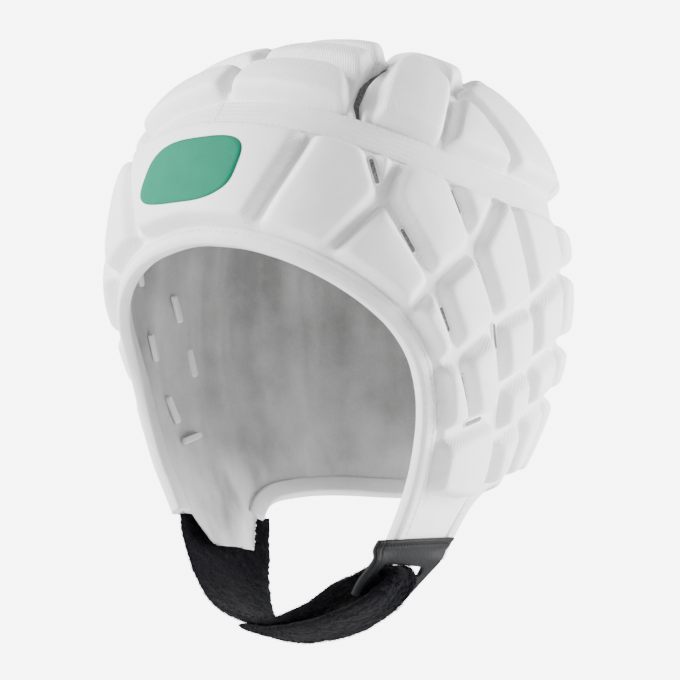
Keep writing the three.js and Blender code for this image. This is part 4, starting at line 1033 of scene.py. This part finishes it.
def make_lining(settings):
    """The grey lining, with its soft folds and the tongue over the strap's root."""
    cloth = finish("grey_lining", lining_material, settings.lining_colour)
    around = np.linspace(-180, 180, 361)
    down = np.concatenate([[0.0005], np.linspace(0.008, FLAP_END_DOWN, 190)])
    down_grid, around_grid = np.meshgrid(down, around, indexing="ij")
    a, d = around_grid.ravel(), down_grid.ravel()
    base = form_points(a, d)
    right = a < 0
    out = opening_mask(around_grid, down_grid)
    limit = tongue_edge(base[:, 1])
    below = right & (base[:, 2] < limit)
    in_tongue = right & (base[:, 2] < ROOT_HEIGHT) & ~below
    dropped = ((out.ravel() & ~in_tongue) | below).reshape(out.shape)
    keep = ~all_corners(dropped)
    fold = 0.5 + 0.5 * np.sin(np.radians(a) * 11 + 1.3 * np.sin(d * 17))
    fold = fold ** 2 * np.clip((d - 0.35) / 0.25, 0, 1)
    level = LINING_LEVEL - LINING_FOLD * fold - soft_waver(base, 16.0, 0.25)
    points = layer_points(a, d, level)
    # Dropped corners that kept squares still use are drawn onto the lining's lower outline
    border = np.zeros(out.shape, bool)
    border[:-1, :-1] |= keep
    border[1:, :-1] |= keep
    border[:-1, 1:] |= keep
    border[1:, 1:] |= keep
    tree, edge_places = tongue_tree()
    for number in np.nonzero(border.ravel() & below & (base[:, 2] > ROOT_HEIGHT - TONGUE_REACH))[0]:
        found = tree.find((0, *points[number, 1:]))[1]
        points[number, 1:] = edge_places[found]
    faces = grid_faces(*around_grid.shape, keep)
    piece = make_mesh("soft_lining", points, faces, cloth, chart_uv(a, d))
    thick = piece.modifiers.new("thickness", "SOLIDIFY")
    thick.thickness = 0.7 * MM
    thick.offset = 1
    settle(piece, "lining_cloth", "lining")


def vent_places(side):
    """Centre, along, across and up of each vent on one side."""
    for start, end, share in VENTS:
        a, b = place_of(start, side), place_of(end, side)
        around = a[0] + (b[0] - a[0]) * share
        down = a[1] + (b[1] - a[1]) * share
        up = form_normals(around, down)
        along = form_points(b[0], b[1]) - form_points(a[0], a[1])
        along -= up * np.dot(along, up)
        along /= np.linalg.norm(along)
        yield around, down, along, np.cross(up, along), up


def stadium(length, width, count=20):
    """Outline of a slot with round ends."""
    points = []
    for k in range(count):
        angle = 2 * math.pi * k / count
        x = math.copysign((length - width) / 2, math.cos(angle)) + width / 2 * math.cos(angle)
        points.append((x, width / 2 * math.sin(angle)))
    return np.array(points)


def make_vents(settings):
    """Stitched vents in the channels, dark outside, where a dark sheet paints the shade in each hole, and
    pale inside.
    """
    dark = finish("dark_mesh", shade_sheet_material, SHADE_SHEET_GREY)
    white = finish("white_tape", tape_material, settings.tape_colour)
    rims, holes, inner = [], [], []
    for side in (1, -1):
        for around, down, along, across, up in vent_places(side):
            outline = stadium(10.5, 2.0)
            wide = stadium(12.2, 3.6)
            centre = layer_points(around, down, SHELL_OUTER + FLOOR_RISE)
            rings = []
            for shape, level in ((wide, -0.3), (wide * 0.97, 0.35), (outline * 1.08, 0.45), (outline, 0.1)):
                rings.append(centre + shape[:, :1] * along + shape[:, 1:] * across + level * up)
            rims.append(np.array(rings))
            holes.append(centre + outline[:, :1] * 1.05 * along + outline[:, 1:] * 1.05 * across + 0.12 * up)
            inside = layer_points(around, down, 0.0)
            ring = []
            inner_rings = (stadium(12.6, 3.0), -0.2), (stadium(12.2, 2.8), -1.7), (stadium(11.4, 2.2), -1.95)
            for shape, level in inner_rings:
                ring.append(inside + shape[::-1, :1] * along + shape[::-1, 1:] * across + level * up)
            rims.append(np.array(ring))
            inner.append(ring[-1][::-1])
    points, faces = [], []
    for rings in rims:
        base = sum(len(p) for p in points)
        count = rings.shape[1]
        faces += ring_faces(len(rings), count, base)
        points.append(rings.reshape(-1, 3))
    piece = make_mesh("vent_rims", np.vstack(points), faces, white)
    settle(piece, "tape_cloth")
    # Dark sheets close each vent's hole outside and paint the shade inside it; pale backs close it inside
    for name, outlines, material, slot, flip in (
            ("vent_shade_sheets", holes, dark, "strap_cloth", 1), ("vent_backs", inner, white, "tape_cloth", -1)):
        points, faces = [], []
        for outline in outlines:
            base = sum(len(p) for p in points)
            count = len(outline)
            points.append(np.vstack([outline, outline.mean(0)]))
            faces += [(base + j, base + (j + 1) % count, base + count)[::flip] for j in range(count)]
        piece = make_mesh(name, np.vstack(points), faces, material)
        settle(piece, slot)


def make_slits():
    """Dark sheets behind the gaping seams of the crown, painted shade in the slits."""
    dark = finish("dark_mesh", shade_sheet_material, SHADE_SHEET_GREY)
    points, faces = [], []
    for seam in (FRONT_SEAM, REAR_SEAM):
        for side in (1, -1):
            line = seam_path(seam, side)
            line = line[np.hypot(line[:, 0], line[:, 1]) / CROWN_TO_RIM < 0.40]
            along = np.gradient(line[:, :2], axis=0)
            along /= np.linalg.norm(along, axis=1, keepdims=True)
            across = np.stack([-along[:, 1], along[:, 0]], -1)
            half = 1.2 + line[:, 2:3] * 3.0
            base = sum(len(p) for p in points)
            for offset in (-1, 1):
                flat = line[:, :2] + offset * half * across
                around, down = chart_of(flat)
                points.append(layer_points(around, down, 2.1))
            count = len(line)
            for i in range(base, base + count - 1):
                faces.append((i, i + 1, count + i + 1, count + i))
    piece = make_mesh("slit_shade_sheet", np.vstack(points), faces, dark)
    settle(piece, "strap_cloth")


def strap_frames(steps):
    """Centre, direction, width direction, outward direction and width along the strap."""
    centre = curve_through(np.stack([STRAP[:, 0] * STRAP_REACH, STRAP[:, 1] * STRAP_FORWARD,
                                     ROOT_HEIGHT - STRAP_BELOW_ROOT - STRAP[:, 2] * STRAP_HANG], -1), steps)
    along = np.gradient(centre, axis=0)
    along /= np.linalg.norm(along, axis=1, keepdims=True)
    extra = curve_through(STRAP[:, 3:], steps)
    wide = np.stack([extra[:, 1], np.ones(steps), extra[:, 2]], -1)
    wide -= along * (wide * along).sum(1, keepdims=True)
    wide /= np.linalg.norm(wide, axis=1, keepdims=True)
    out = np.cross(wide, along)
    return centre, along, wide, out, extra[:, 0]


def make_strap(settings):
    """The plush chin strap, with a fringe of short fibres."""
    plush = finish("black_plush", plush_material, settings.strap_colour)
    steps = STRAP_STEPS
    centre, _, wide, out, width = strap_frames(steps)
    shares = np.concatenate([np.linspace(-1, 1, STRAP_COLUMNS), np.linspace(1, -1, STRAP_COLUMNS)])
    edge = np.sqrt(np.clip(1 - np.abs(shares) ** 6, 0.0, 1))
    inner_or_outer = np.where(np.arange(2 * STRAP_COLUMNS) < STRAP_COLUMNS, -1, 1)
    half_thick = STRAP_HALF_THICKNESS * edge * inner_or_outer
    row = np.linspace(0, len(STRAP) - 1, steps)
    bulge = STRAP_ARCH * np.maximum(0, 1 - row / ARCH_ROWS)
    rise = bulge[:, None] * (1 - shares[None] ** 2) + half_thick[None]
    points = (centre[:, None] + (shares[None] * width[:, None] / 2)[..., None] * wide[:, None]
              + rise[..., None] * out[:, None])
    flat = points.reshape(-1, 3)
    rough = (soft_waver(flat, 1.3, 0.13) + soft_waver(flat, 3.1, 0.16)).reshape(points.shape[:2])
    points += (rough * inner_or_outer[None])[..., None] * out[:, None]
    points += (soft_waver(flat, 1.9, 0.35).reshape(rough.shape) * (np.abs(shares[None]) > 0.96)
               * np.sign(shares[None]))[..., None] * wide[:, None]
    points[0, :, 2] = ROOT_HEIGHT - 0.2
    piece = sweep("plush_chin_strap", points, plush, False)
    settle(piece, "strap_cloth", "chin_strap")
    length = np.linalg.norm(np.diff(centre, axis=0), axis=1).sum()
    area = float((np.linalg.norm(np.diff(centre, axis=0), axis=1) * width[1:]).sum()) * MM**2
    rng = np.random.default_rng(7)
    count = FIBRES
    step = rng.integers(3, steps - 1, count)
    share = rng.uniform(-1.0, 1.0, count)
    share = np.sign(share) * np.abs(share) ** 0.6
    face = rng.choice([-1.0, 1.0], count)
    lift = bulge[step] * (1 - share**2) + FIBRE_LEVEL * np.sqrt(np.clip(1 - np.abs(share) ** 6, 0, 1)) * face
    root = centre[step] + (share * width[step] / 2)[:, None] * wide[step] + lift[:, None] * out[step]
    lean = rng.normal(0, 0.7, (count, 3))
    outward = out[step] * face[:, None] + wide[step] * (share**9)[:, None] * 2
    grow = outward + lean
    grow /= np.linalg.norm(grow, axis=1, keepdims=True)
    size = rng.uniform(0.5, 1.3, count)
    turn = rng.normal(0, 1, (count, 3))
    flatwise = np.cross(grow, turn)
    flatwise /= np.linalg.norm(flatwise, axis=1, keepdims=True)
    tips = np.stack([root - flatwise * 0.09, root + flatwise * 0.09, root + grow * size[:, None]], 1)
    faces = np.arange(count * 3).reshape(-1, 3)
    fuzz = make_mesh("strap_fibres", tips.reshape(-1, 3), faces, plush)
    settle(fuzz, "strap_cloth")


def walled(name, outer, inner, faces, material):
    """A closed mesh between two like grids of points, with walls round the kept faces."""
    count = len(outer)
    sides = np.concatenate([faces[:, [k, (k + 1) % 4]] for k in range(4)])
    used = {tuple(side) for side in sides.tolist()}
    walls = [(b, a, a + count, b + count) for a, b in sides.tolist() if (b, a) not in used]
    everything = np.vstack([faces, faces[:, ::-1] + count, np.array(walls)])
    return make_mesh(name, np.vstack([outer, inner]), everything, material)


def make_tab(settings):
    """The coated tab with its slot and folded border, over the end of the left flap."""
    vinyl = finish("tab_coating", vinyl_material, settings.tab_colour)
    columns, lines = 109, 85
    level = BINDING_LOW + BINDING_THICKNESS + TAB_CLEARANCE
    grid = np.empty((lines, columns, 3))
    for j in range(columns):
        share = j / (columns - 1)
        y = (TAB[:, 0] + (TAB[:, 1] - TAB[:, 0]) * share) * STRAP_FORWARD
        z = ROOT_HEIGHT - (TAB[:, 2] + (TAB[:, 3] - TAB[:, 2]) * share) * STRAP_HANG
        x = np.array([flap_outside(y[i], z[i], level) if math.isnan(row[4]) else row[4] * STRAP_REACH
                      for i, row in enumerate(TAB)])
        grid[:, j] = curve_through(np.stack([x, y, z], -1), lines)
    rearward = np.gradient(grid, axis=1)
    downward = np.gradient(grid, axis=0)
    width = np.linalg.norm(grid[:, -1] - grid[:, 0], axis=1)[:, None] * np.ones((1, columns))
    height = np.linalg.norm(grid[-1] - grid[0], axis=1)[None] * np.ones((lines, 1))
    across = np.linspace(0, 1, columns)[None]
    below = np.linspace(0, 1, lines)[:, None]
    normal = np.cross(rearward, downward)
    normal /= np.linalg.norm(normal, axis=2, keepdims=True)
    normal *= np.sign(normal[..., :1])
    half = np.array([SLOT_LENGTH, SLOT_HEIGHT]) / 2
    middle = np.array([SLOT_ALONG * STRAP_FORWARD, ROOT_HEIGHT - SLOT_DROP * STRAP_HANG])
    offset = grid[..., 1:] - middle
    reach = np.abs(offset) - (half - SLOT_CORNER)
    slot = np.linalg.norm(np.maximum(reach, 0), axis=2) + np.minimum(reach.max(axis=2), 0) - SLOT_CORNER
    inside = slot < 0
    open_face = all_corners(inside)
    pull = np.where(reach[..., :1] > reach[..., 1:], [1.0, 0.0], [0.0, 1.0])
    slanting = reach / np.linalg.norm(reach, axis=2)[..., None]
    pull = np.where((reach > 0).all(axis=2)[..., None], slanting, pull)
    moved = np.where(inside[..., None], -slot[..., None] * pull * np.sign(offset), 0)
    grid[..., 1:] += moved
    lean = (grid[-1, :, 0] - grid[lines // 2, :, 0]) / (grid[-1, :, 2] - grid[lines // 2, :, 2])
    grid[..., 0] += moved[..., 1] * lean[None]
    edge = np.minimum(np.minimum(across, 1 - across) * width, np.minimum(below, 1 - below) * height)
    edge = np.minimum(edge, np.abs(slot) + 0.02)
    rounding = 0.55 * (1 - np.clip(edge / 0.9, 0, 1)) ** 2
    border = across * width
    groove = 0.35 * np.exp(-((border - BORDER_GROOVE) / 0.5) ** 2)
    fold = 0.45 * (1 - np.clip((border - BORDER_END) / 0.5, 0, 1)) - groove
    top_seam = 0.18 * np.exp(-((below * height - TOP_STITCH) / 1.1) ** 2)
    stitched = 0.22 * np.exp(-((border - BORDER_STITCH) / 0.35) ** 2) + top_seam
    outer = grid + normal * (1.0 - rounding + fold - stitched)[..., None]
    inner = grid - normal * (1.0 - rounding)[..., None]
    faces = grid_faces(lines, columns, ~open_face)
    plate = walled("strap_tab_plate", outer.reshape(-1, 3), inner.reshape(-1, 3), faces, vinyl)
    settle(plate, "tab_vinyl", "strap_tab")
    thread = finish("tab_thread", vinyl_material, darker(settings.tab_colour, 0.35), 0.7, 1500.0)
    line = int(TOP_STITCH / float(height.mean()) * lines)
    stitch_column = 3
    pieces = [(line, j) for j in range(7, columns - 6, 4)]
    pieces += [(i, stitch_column) for i in range(5, lines - 4, 4)]
    rows, cols = np.array(pieces).T
    along = downward[rows, cols] / np.linalg.norm(downward[rows, cols], axis=1, keepdims=True)
    up = normal[rows, cols]
    size = (0.8, 0.24, 0.22)
    stitch = tick_marks("tab_stitches", outer[rows, cols], along, np.cross(along, up), up, size, thread)
    settle(stitch, "tab_vinyl")


def flap_outside(y, z, level):
    """How far out the left flap's outside lies at a place along and a height."""
    downs = np.linspace(0.3, 1.06, 400)
    heights = -smooth_column(FORM, DOWN, DROP, downs) * HEIGHT
    down = float(np.interp(-z, -heights, downs))
    turns = np.linspace(20, 160, 281)
    points = layer_points(turns, np.full(len(turns), down), level)
    return float(np.interp(y, points[:, 1], points[:, 0]))


def make_badge(settings):
    """A plain raised badge on the forehead, with no sign on it."""
    green = finish("badge_print", vinyl_material, settings.badge_colour, 0.8, 1200.0, 0.06, 0.2)
    centre = np.array(settings.badge_place)
    half_width, half_height, slant = 22.0, 13.0, 0.28
    count = 96
    angle = np.linspace(0, 2 * math.pi, count, endpoint=False)
    power = 2 / 3.4
    x = half_width * np.sign(np.cos(angle)) * np.abs(np.cos(angle)) ** power
    y = half_height * np.sign(np.sin(angle)) * np.abs(np.sin(angle)) ** power
    x = x + slant * y
    sizes = Sizes(settings)
    degree = np.linalg.norm(form_points(centre[0], centre[1]) - form_points(centre[0] + 1, centre[1]))
    points = []
    shares = [1.0, 0.985, 0.9, 0.75, 0.6, 0.45, 0.3, 0.15, 0.0]
    for i, share in enumerate(shares):
        around = centre[0] + x * share / degree
        down = centre[1] - y * share / CROWN_TO_RIM
        lift = -0.3 if i == 0 else 0.22
        points.append(layer_points(around, down, forehead_level(around, down, sizes) + lift))
    piece = make_mesh("plain_badge", np.vstack(points), ring_faces(len(shares), count), green)
    settle(piece, "shell_cloth")


def forehead_level(around, down, sizes):
    """Height of the forehead pad's top at places well inside it."""
    lay, corners = pad_chart([place_of(name, side) for name, side in FOREHEAD])
    tape = (down - tape_down(around)) * CROWN_TO_RIM - (TAPE_HALF + EDGE_GAP)
    rim_line = layer_points(face_path()[:, 0], face_path()[:, 1], SHELL_OUTER)
    rim = nearest_on(rim_line, layer_points(around, down, SHELL_OUTER)) - (BINDING_HALF + EDGE_GAP)
    floor = channel_floor(np.minimum(tape, rim))
    edges = {"tape": tape, "rim": rim}
    return SHELL_OUTER + floor + pad_relief(lay(around, down), corners, edges, sizes, sizes.pad_height)


# The camera, in degrees and metres, and the photograph's lens and middle, in its pixels
AZIMUTH, ELEVATION, DISTANCE = 38, -7, 1.5
PHOTO_WIDTH, FOCAL_PIXELS, SHIFT_PIXELS = 680, 3555, 2
CAP_MIDDLE = (0, 0, -0.113)
FLOOR_HALF_SIZE, FLOOR_HEIGHT = 4.0, -0.46
# Name, watts, metres across, and metres towards the camera, to its right and up from the cap
SOFTBOXES = (
    ("left_softbox", 68, 0.9, (0.22, -1.2, 0.6)),
    ("right_softbox", 58, 0.8, (-0.1, 1.25, 0.1)),
)
# Degrees from its middle to the bright patch's edges, and its strength against the surround's
PATCH_OUTER, PATCH_INNER, PATCH_GAIN = 26, 9, 17


def add_light(name, energy, size, place, aim):
    """A square soft light at a place, aimed at another."""
    data = bpy.data.lights.new(name, "AREA")
    data.energy = energy
    data.size = size
    lamp = bpy.data.objects.new(name, data)
    lamp.location = place
    lamp.rotation_euler = (Vector(aim) - Vector(place)).to_track_quat("-Z", "Y").to_euler()
    bpy.context.scene.collection.objects.link(lamp)


def light_background(tree, direction, strength):
    """A pale surround with a soft bright patch in one direction, as a light on a backdrop gives."""
    nodes, links = tree.nodes, tree.links
    place = nodes.new("ShaderNodeTexCoord")
    towards = nodes.new("ShaderNodeVectorMath")
    towards.operation = "DOT_PRODUCT"
    towards.inputs[1].default_value = direction
    links.new(place.outputs["Generated"], towards.inputs[0])
    patch = nodes.new("ShaderNodeMapRange")
    patch.interpolation_type = "SMOOTHSTEP"
    patch.inputs["From Min"].default_value = math.cos(math.radians(PATCH_OUTER))
    patch.inputs["From Max"].default_value = math.cos(math.radians(PATCH_INNER))
    patch.inputs["To Min"].default_value = strength
    patch.inputs["To Max"].default_value = strength * PATCH_GAIN
    links.new(towards.outputs["Value"], patch.inputs["Value"])
    nodes["Background"].inputs["Color"].default_value = (1, 1, 1, 1)
    links.new(patch.outputs["Result"], nodes["Background"].inputs["Strength"])


def make_stage(settings):
    """The floor, the soft lights and the camera at the photograph's angle."""
    pale = Shading("pale_floor")
    pale.colour(pale.noise(pale.place(), 2.0), (0.80, 0.80, 0.80), (0.84, 0.84, 0.84))
    size = FLOOR_HALF_SIZE
    corners = [(x, y, FLOOR_HEIGHT) for x, y in ((-size, -size), (size, -size), (size, size), (-size, size))]
    mesh = bpy.data.meshes.new("floor")
    mesh.from_pydata(corners, [], [(0, 1, 2, 3)])
    mesh.materials.append(pale.finished({"Roughness": 0.9}))
    floor = bpy.data.objects.new("floor", mesh)
    bpy.context.scene.collection.objects.link(floor)
    world = bpy.data.worlds.new("studio")
    world.use_nodes = True
    bpy.context.scene.world = world
    target = np.array(CAP_MIDDLE)
    azimuth, elevation = math.radians(AZIMUTH), math.radians(ELEVATION)
    back = np.array([math.sin(azimuth) * math.cos(elevation), -math.cos(azimuth) * math.cos(elevation),
                     math.sin(elevation)])
    right = np.array([math.cos(azimuth), math.sin(azimuth), 0])
    up = np.cross(back, right)
    eye = target + DISTANCE * back
    light_background(world.node_tree, tuple(-back), settings.surround)
    for name, energy, across, (nearer, rightwards, raised) in SOFTBOXES:
        place = target + nearer * back + rightwards * right + raised * up
        add_light(name, energy, across, tuple(place), tuple(target))
    data = bpy.data.cameras.new("camera")
    data.sensor_width = 36
    data.angle = 2 * math.atan(PHOTO_WIDTH / 2 / FOCAL_PIXELS)
    data.shift_x = SHIFT_PIXELS / PHOTO_WIDTH
    camera = bpy.data.objects.new("camera", data)
    camera.matrix_world = Matrix((
        (right[0], up[0], back[0], eye[0]), (right[1], up[1], back[1], eye[1]),
        (right[2], up[2], back[2], eye[2]), (0, 0, 0, 1)))
    bpy.context.scene.collection.objects.link(camera)
    bpy.context.scene.camera = camera


class ScrumCapSettings(bpy.types.PropertyGroup):
    """Sizes and colours of the cap."""

    pad_height: bpy.props.FloatProperty(
        name="Pad height", description="Height of the foam blocks on the sides",
        default=0.0082, unit="LENGTH")
    crown_pad_height: bpy.props.FloatProperty(
        name="Crown pad height", description="Height of the foam blocks on the crown",
        default=0.0094, unit="LENGTH")
    channel_width: bpy.props.FloatProperty(
        name="Channel width", description="Width of the channels at the foot of the blocks", default=0.0038,
        unit="LENGTH")
    shell_colour: bpy.props.FloatVectorProperty(
        name="Shell", description="Colour of the white cloth",
        subtype="COLOR", default=(0.80, 0.80, 0.795))
    tape_colour: bpy.props.FloatVectorProperty(
        name="Tape", description="Colour of the tape and the bindings",
        subtype="COLOR", default=(0.80, 0.80, 0.795))
    lining_colour: bpy.props.FloatVectorProperty(
        name="Lining", description="Colour of the lining", subtype="COLOR", default=(0.56, 0.565, 0.56))
    strap_colour: bpy.props.FloatVectorProperty(
        name="Strap", description="Colour of the chin strap",
        subtype="COLOR", default=(0.0035, 0.0035, 0.0055))
    tab_colour: bpy.props.FloatVectorProperty(
        name="Tab", description="Colour of the tab", subtype="COLOR", default=(0.005, 0.0052, 0.006))
    badge_colour: bpy.props.FloatVectorProperty(
        name="Badge", description="Colour of the plain badge", subtype="COLOR", default=(0.0, 0.135, 0.076))
    badge_place: bpy.props.FloatVectorProperty(
        name="Badge place", description="Degrees around and share down of the badge's middle", size=2,
        default=(-0.5, 0.415), subtype="COORDINATES")
    surround: bpy.props.FloatProperty(
        name="Surround", description="Strength of the studio's white surround", default=0.42,
        min=0.0, subtype="FACTOR")


class SCRUMCAP_OT_stage(bpy.types.Operator):
    """Set the floor, the lights and the camera"""

    bl_idname = "scrumcap.stage"
    bl_label = "Stage"

    def execute(self, context):
        make_stage(context.scene.scrum_cap)
        return {"FINISHED"}


class SCRUMCAP_OT_sides(bpy.types.Operator):
    """Build the forehead panel and the padded sides"""

    bl_idname = "scrumcap.sides"
    bl_label = "Sides"

    def execute(self, context):
        make_body(context.scene.scrum_cap)
        return {"FINISHED"}


class SCRUMCAP_OT_crown(bpy.types.Operator):
    """Build the crown's four petals and the dark sheets of painted shade in their slits"""

    bl_idname = "scrumcap.crown"
    bl_label = "Crown"

    def execute(self, context):
        for name in ("front", "left", "right", "back"):
            make_petal(name, context.scene.scrum_cap)
        make_slits()
        return {"FINISHED"}


class SCRUMCAP_OT_edges(bpy.types.Operator):
    """Build the tape round the head and the two bindings"""

    bl_idname = "scrumcap.edges"
    bl_label = "Tape and bindings"

    def execute(self, context):
        make_edges(context.scene.scrum_cap)
        return {"FINISHED"}


class SCRUMCAP_OT_lining(bpy.types.Operator):
    """Build the lining"""

    bl_idname = "scrumcap.lining"
    bl_label = "Lining"

    def execute(self, context):
        make_lining(context.scene.scrum_cap)
        return {"FINISHED"}


class SCRUMCAP_OT_vents(bpy.types.Operator):
    """Build the stitched vents"""

    bl_idname = "scrumcap.vents"
    bl_label = "Vents"

    def execute(self, context):
        make_vents(context.scene.scrum_cap)
        return {"FINISHED"}


class SCRUMCAP_OT_strap(bpy.types.Operator):
    """Build the chin strap"""

    bl_idname = "scrumcap.strap"
    bl_label = "Chin strap"

    def execute(self, context):
        make_strap(context.scene.scrum_cap)
        return {"FINISHED"}


class SCRUMCAP_OT_tab(bpy.types.Operator):
    """Build the tab that the strap runs through"""

    bl_idname = "scrumcap.tab"
    bl_label = "Tab"

    def execute(self, context):
        make_tab(context.scene.scrum_cap)
        return {"FINISHED"}


class SCRUMCAP_OT_badge(bpy.types.Operator):
    """Build the plain badge on the forehead"""

    bl_idname = "scrumcap.badge"
    bl_label = "Badge"

    def execute(self, context):
        make_badge(context.scene.scrum_cap)
        return {"FINISHED"}


OPERATORS = (
    SCRUMCAP_OT_stage, SCRUMCAP_OT_sides, SCRUMCAP_OT_crown, SCRUMCAP_OT_edges, SCRUMCAP_OT_lining,
    SCRUMCAP_OT_vents, SCRUMCAP_OT_strap, SCRUMCAP_OT_tab, SCRUMCAP_OT_badge,
)


class SCRUMCAP_PT_panel(bpy.types.Panel):
    """The cap's sizes, colours and pieces."""

    bl_label = "Scrum cap"
    bl_idname = "SCRUMCAP_PT_panel"
    bl_space_type = "VIEW_3D"
    bl_region_type = "UI"
    bl_category = "Scrum cap"

    def draw(self, context):
        column = self.layout.column()
        for name in ScrumCapSettings.__annotations__:
            column.prop(context.scene.scrum_cap, name)
        for operator in OPERATORS:
            column.operator(operator.bl_idname)


CLASSES = (ScrumCapSettings, *OPERATORS, SCRUMCAP_PT_panel)


def register():
    """Add the cap's settings, pieces and panel to Blender."""
    for cls in CLASSES:
        bpy.utils.register_class(cls)
    bpy.types.Scene.scrum_cap = bpy.props.PointerProperty(type=ScrumCapSettings)


def unregister():
    """Take them away again."""
    del bpy.types.Scene.scrum_cap
    for cls in reversed(CLASSES):
        bpy.utils.unregister_class(cls)


def main():
    """Build every piece."""
    register()
    for operator in OPERATORS:
        group, name = operator.bl_idname.split(".")
        getattr(getattr(bpy.ops, group), name)()


if __name__ == "__main__":
    main()
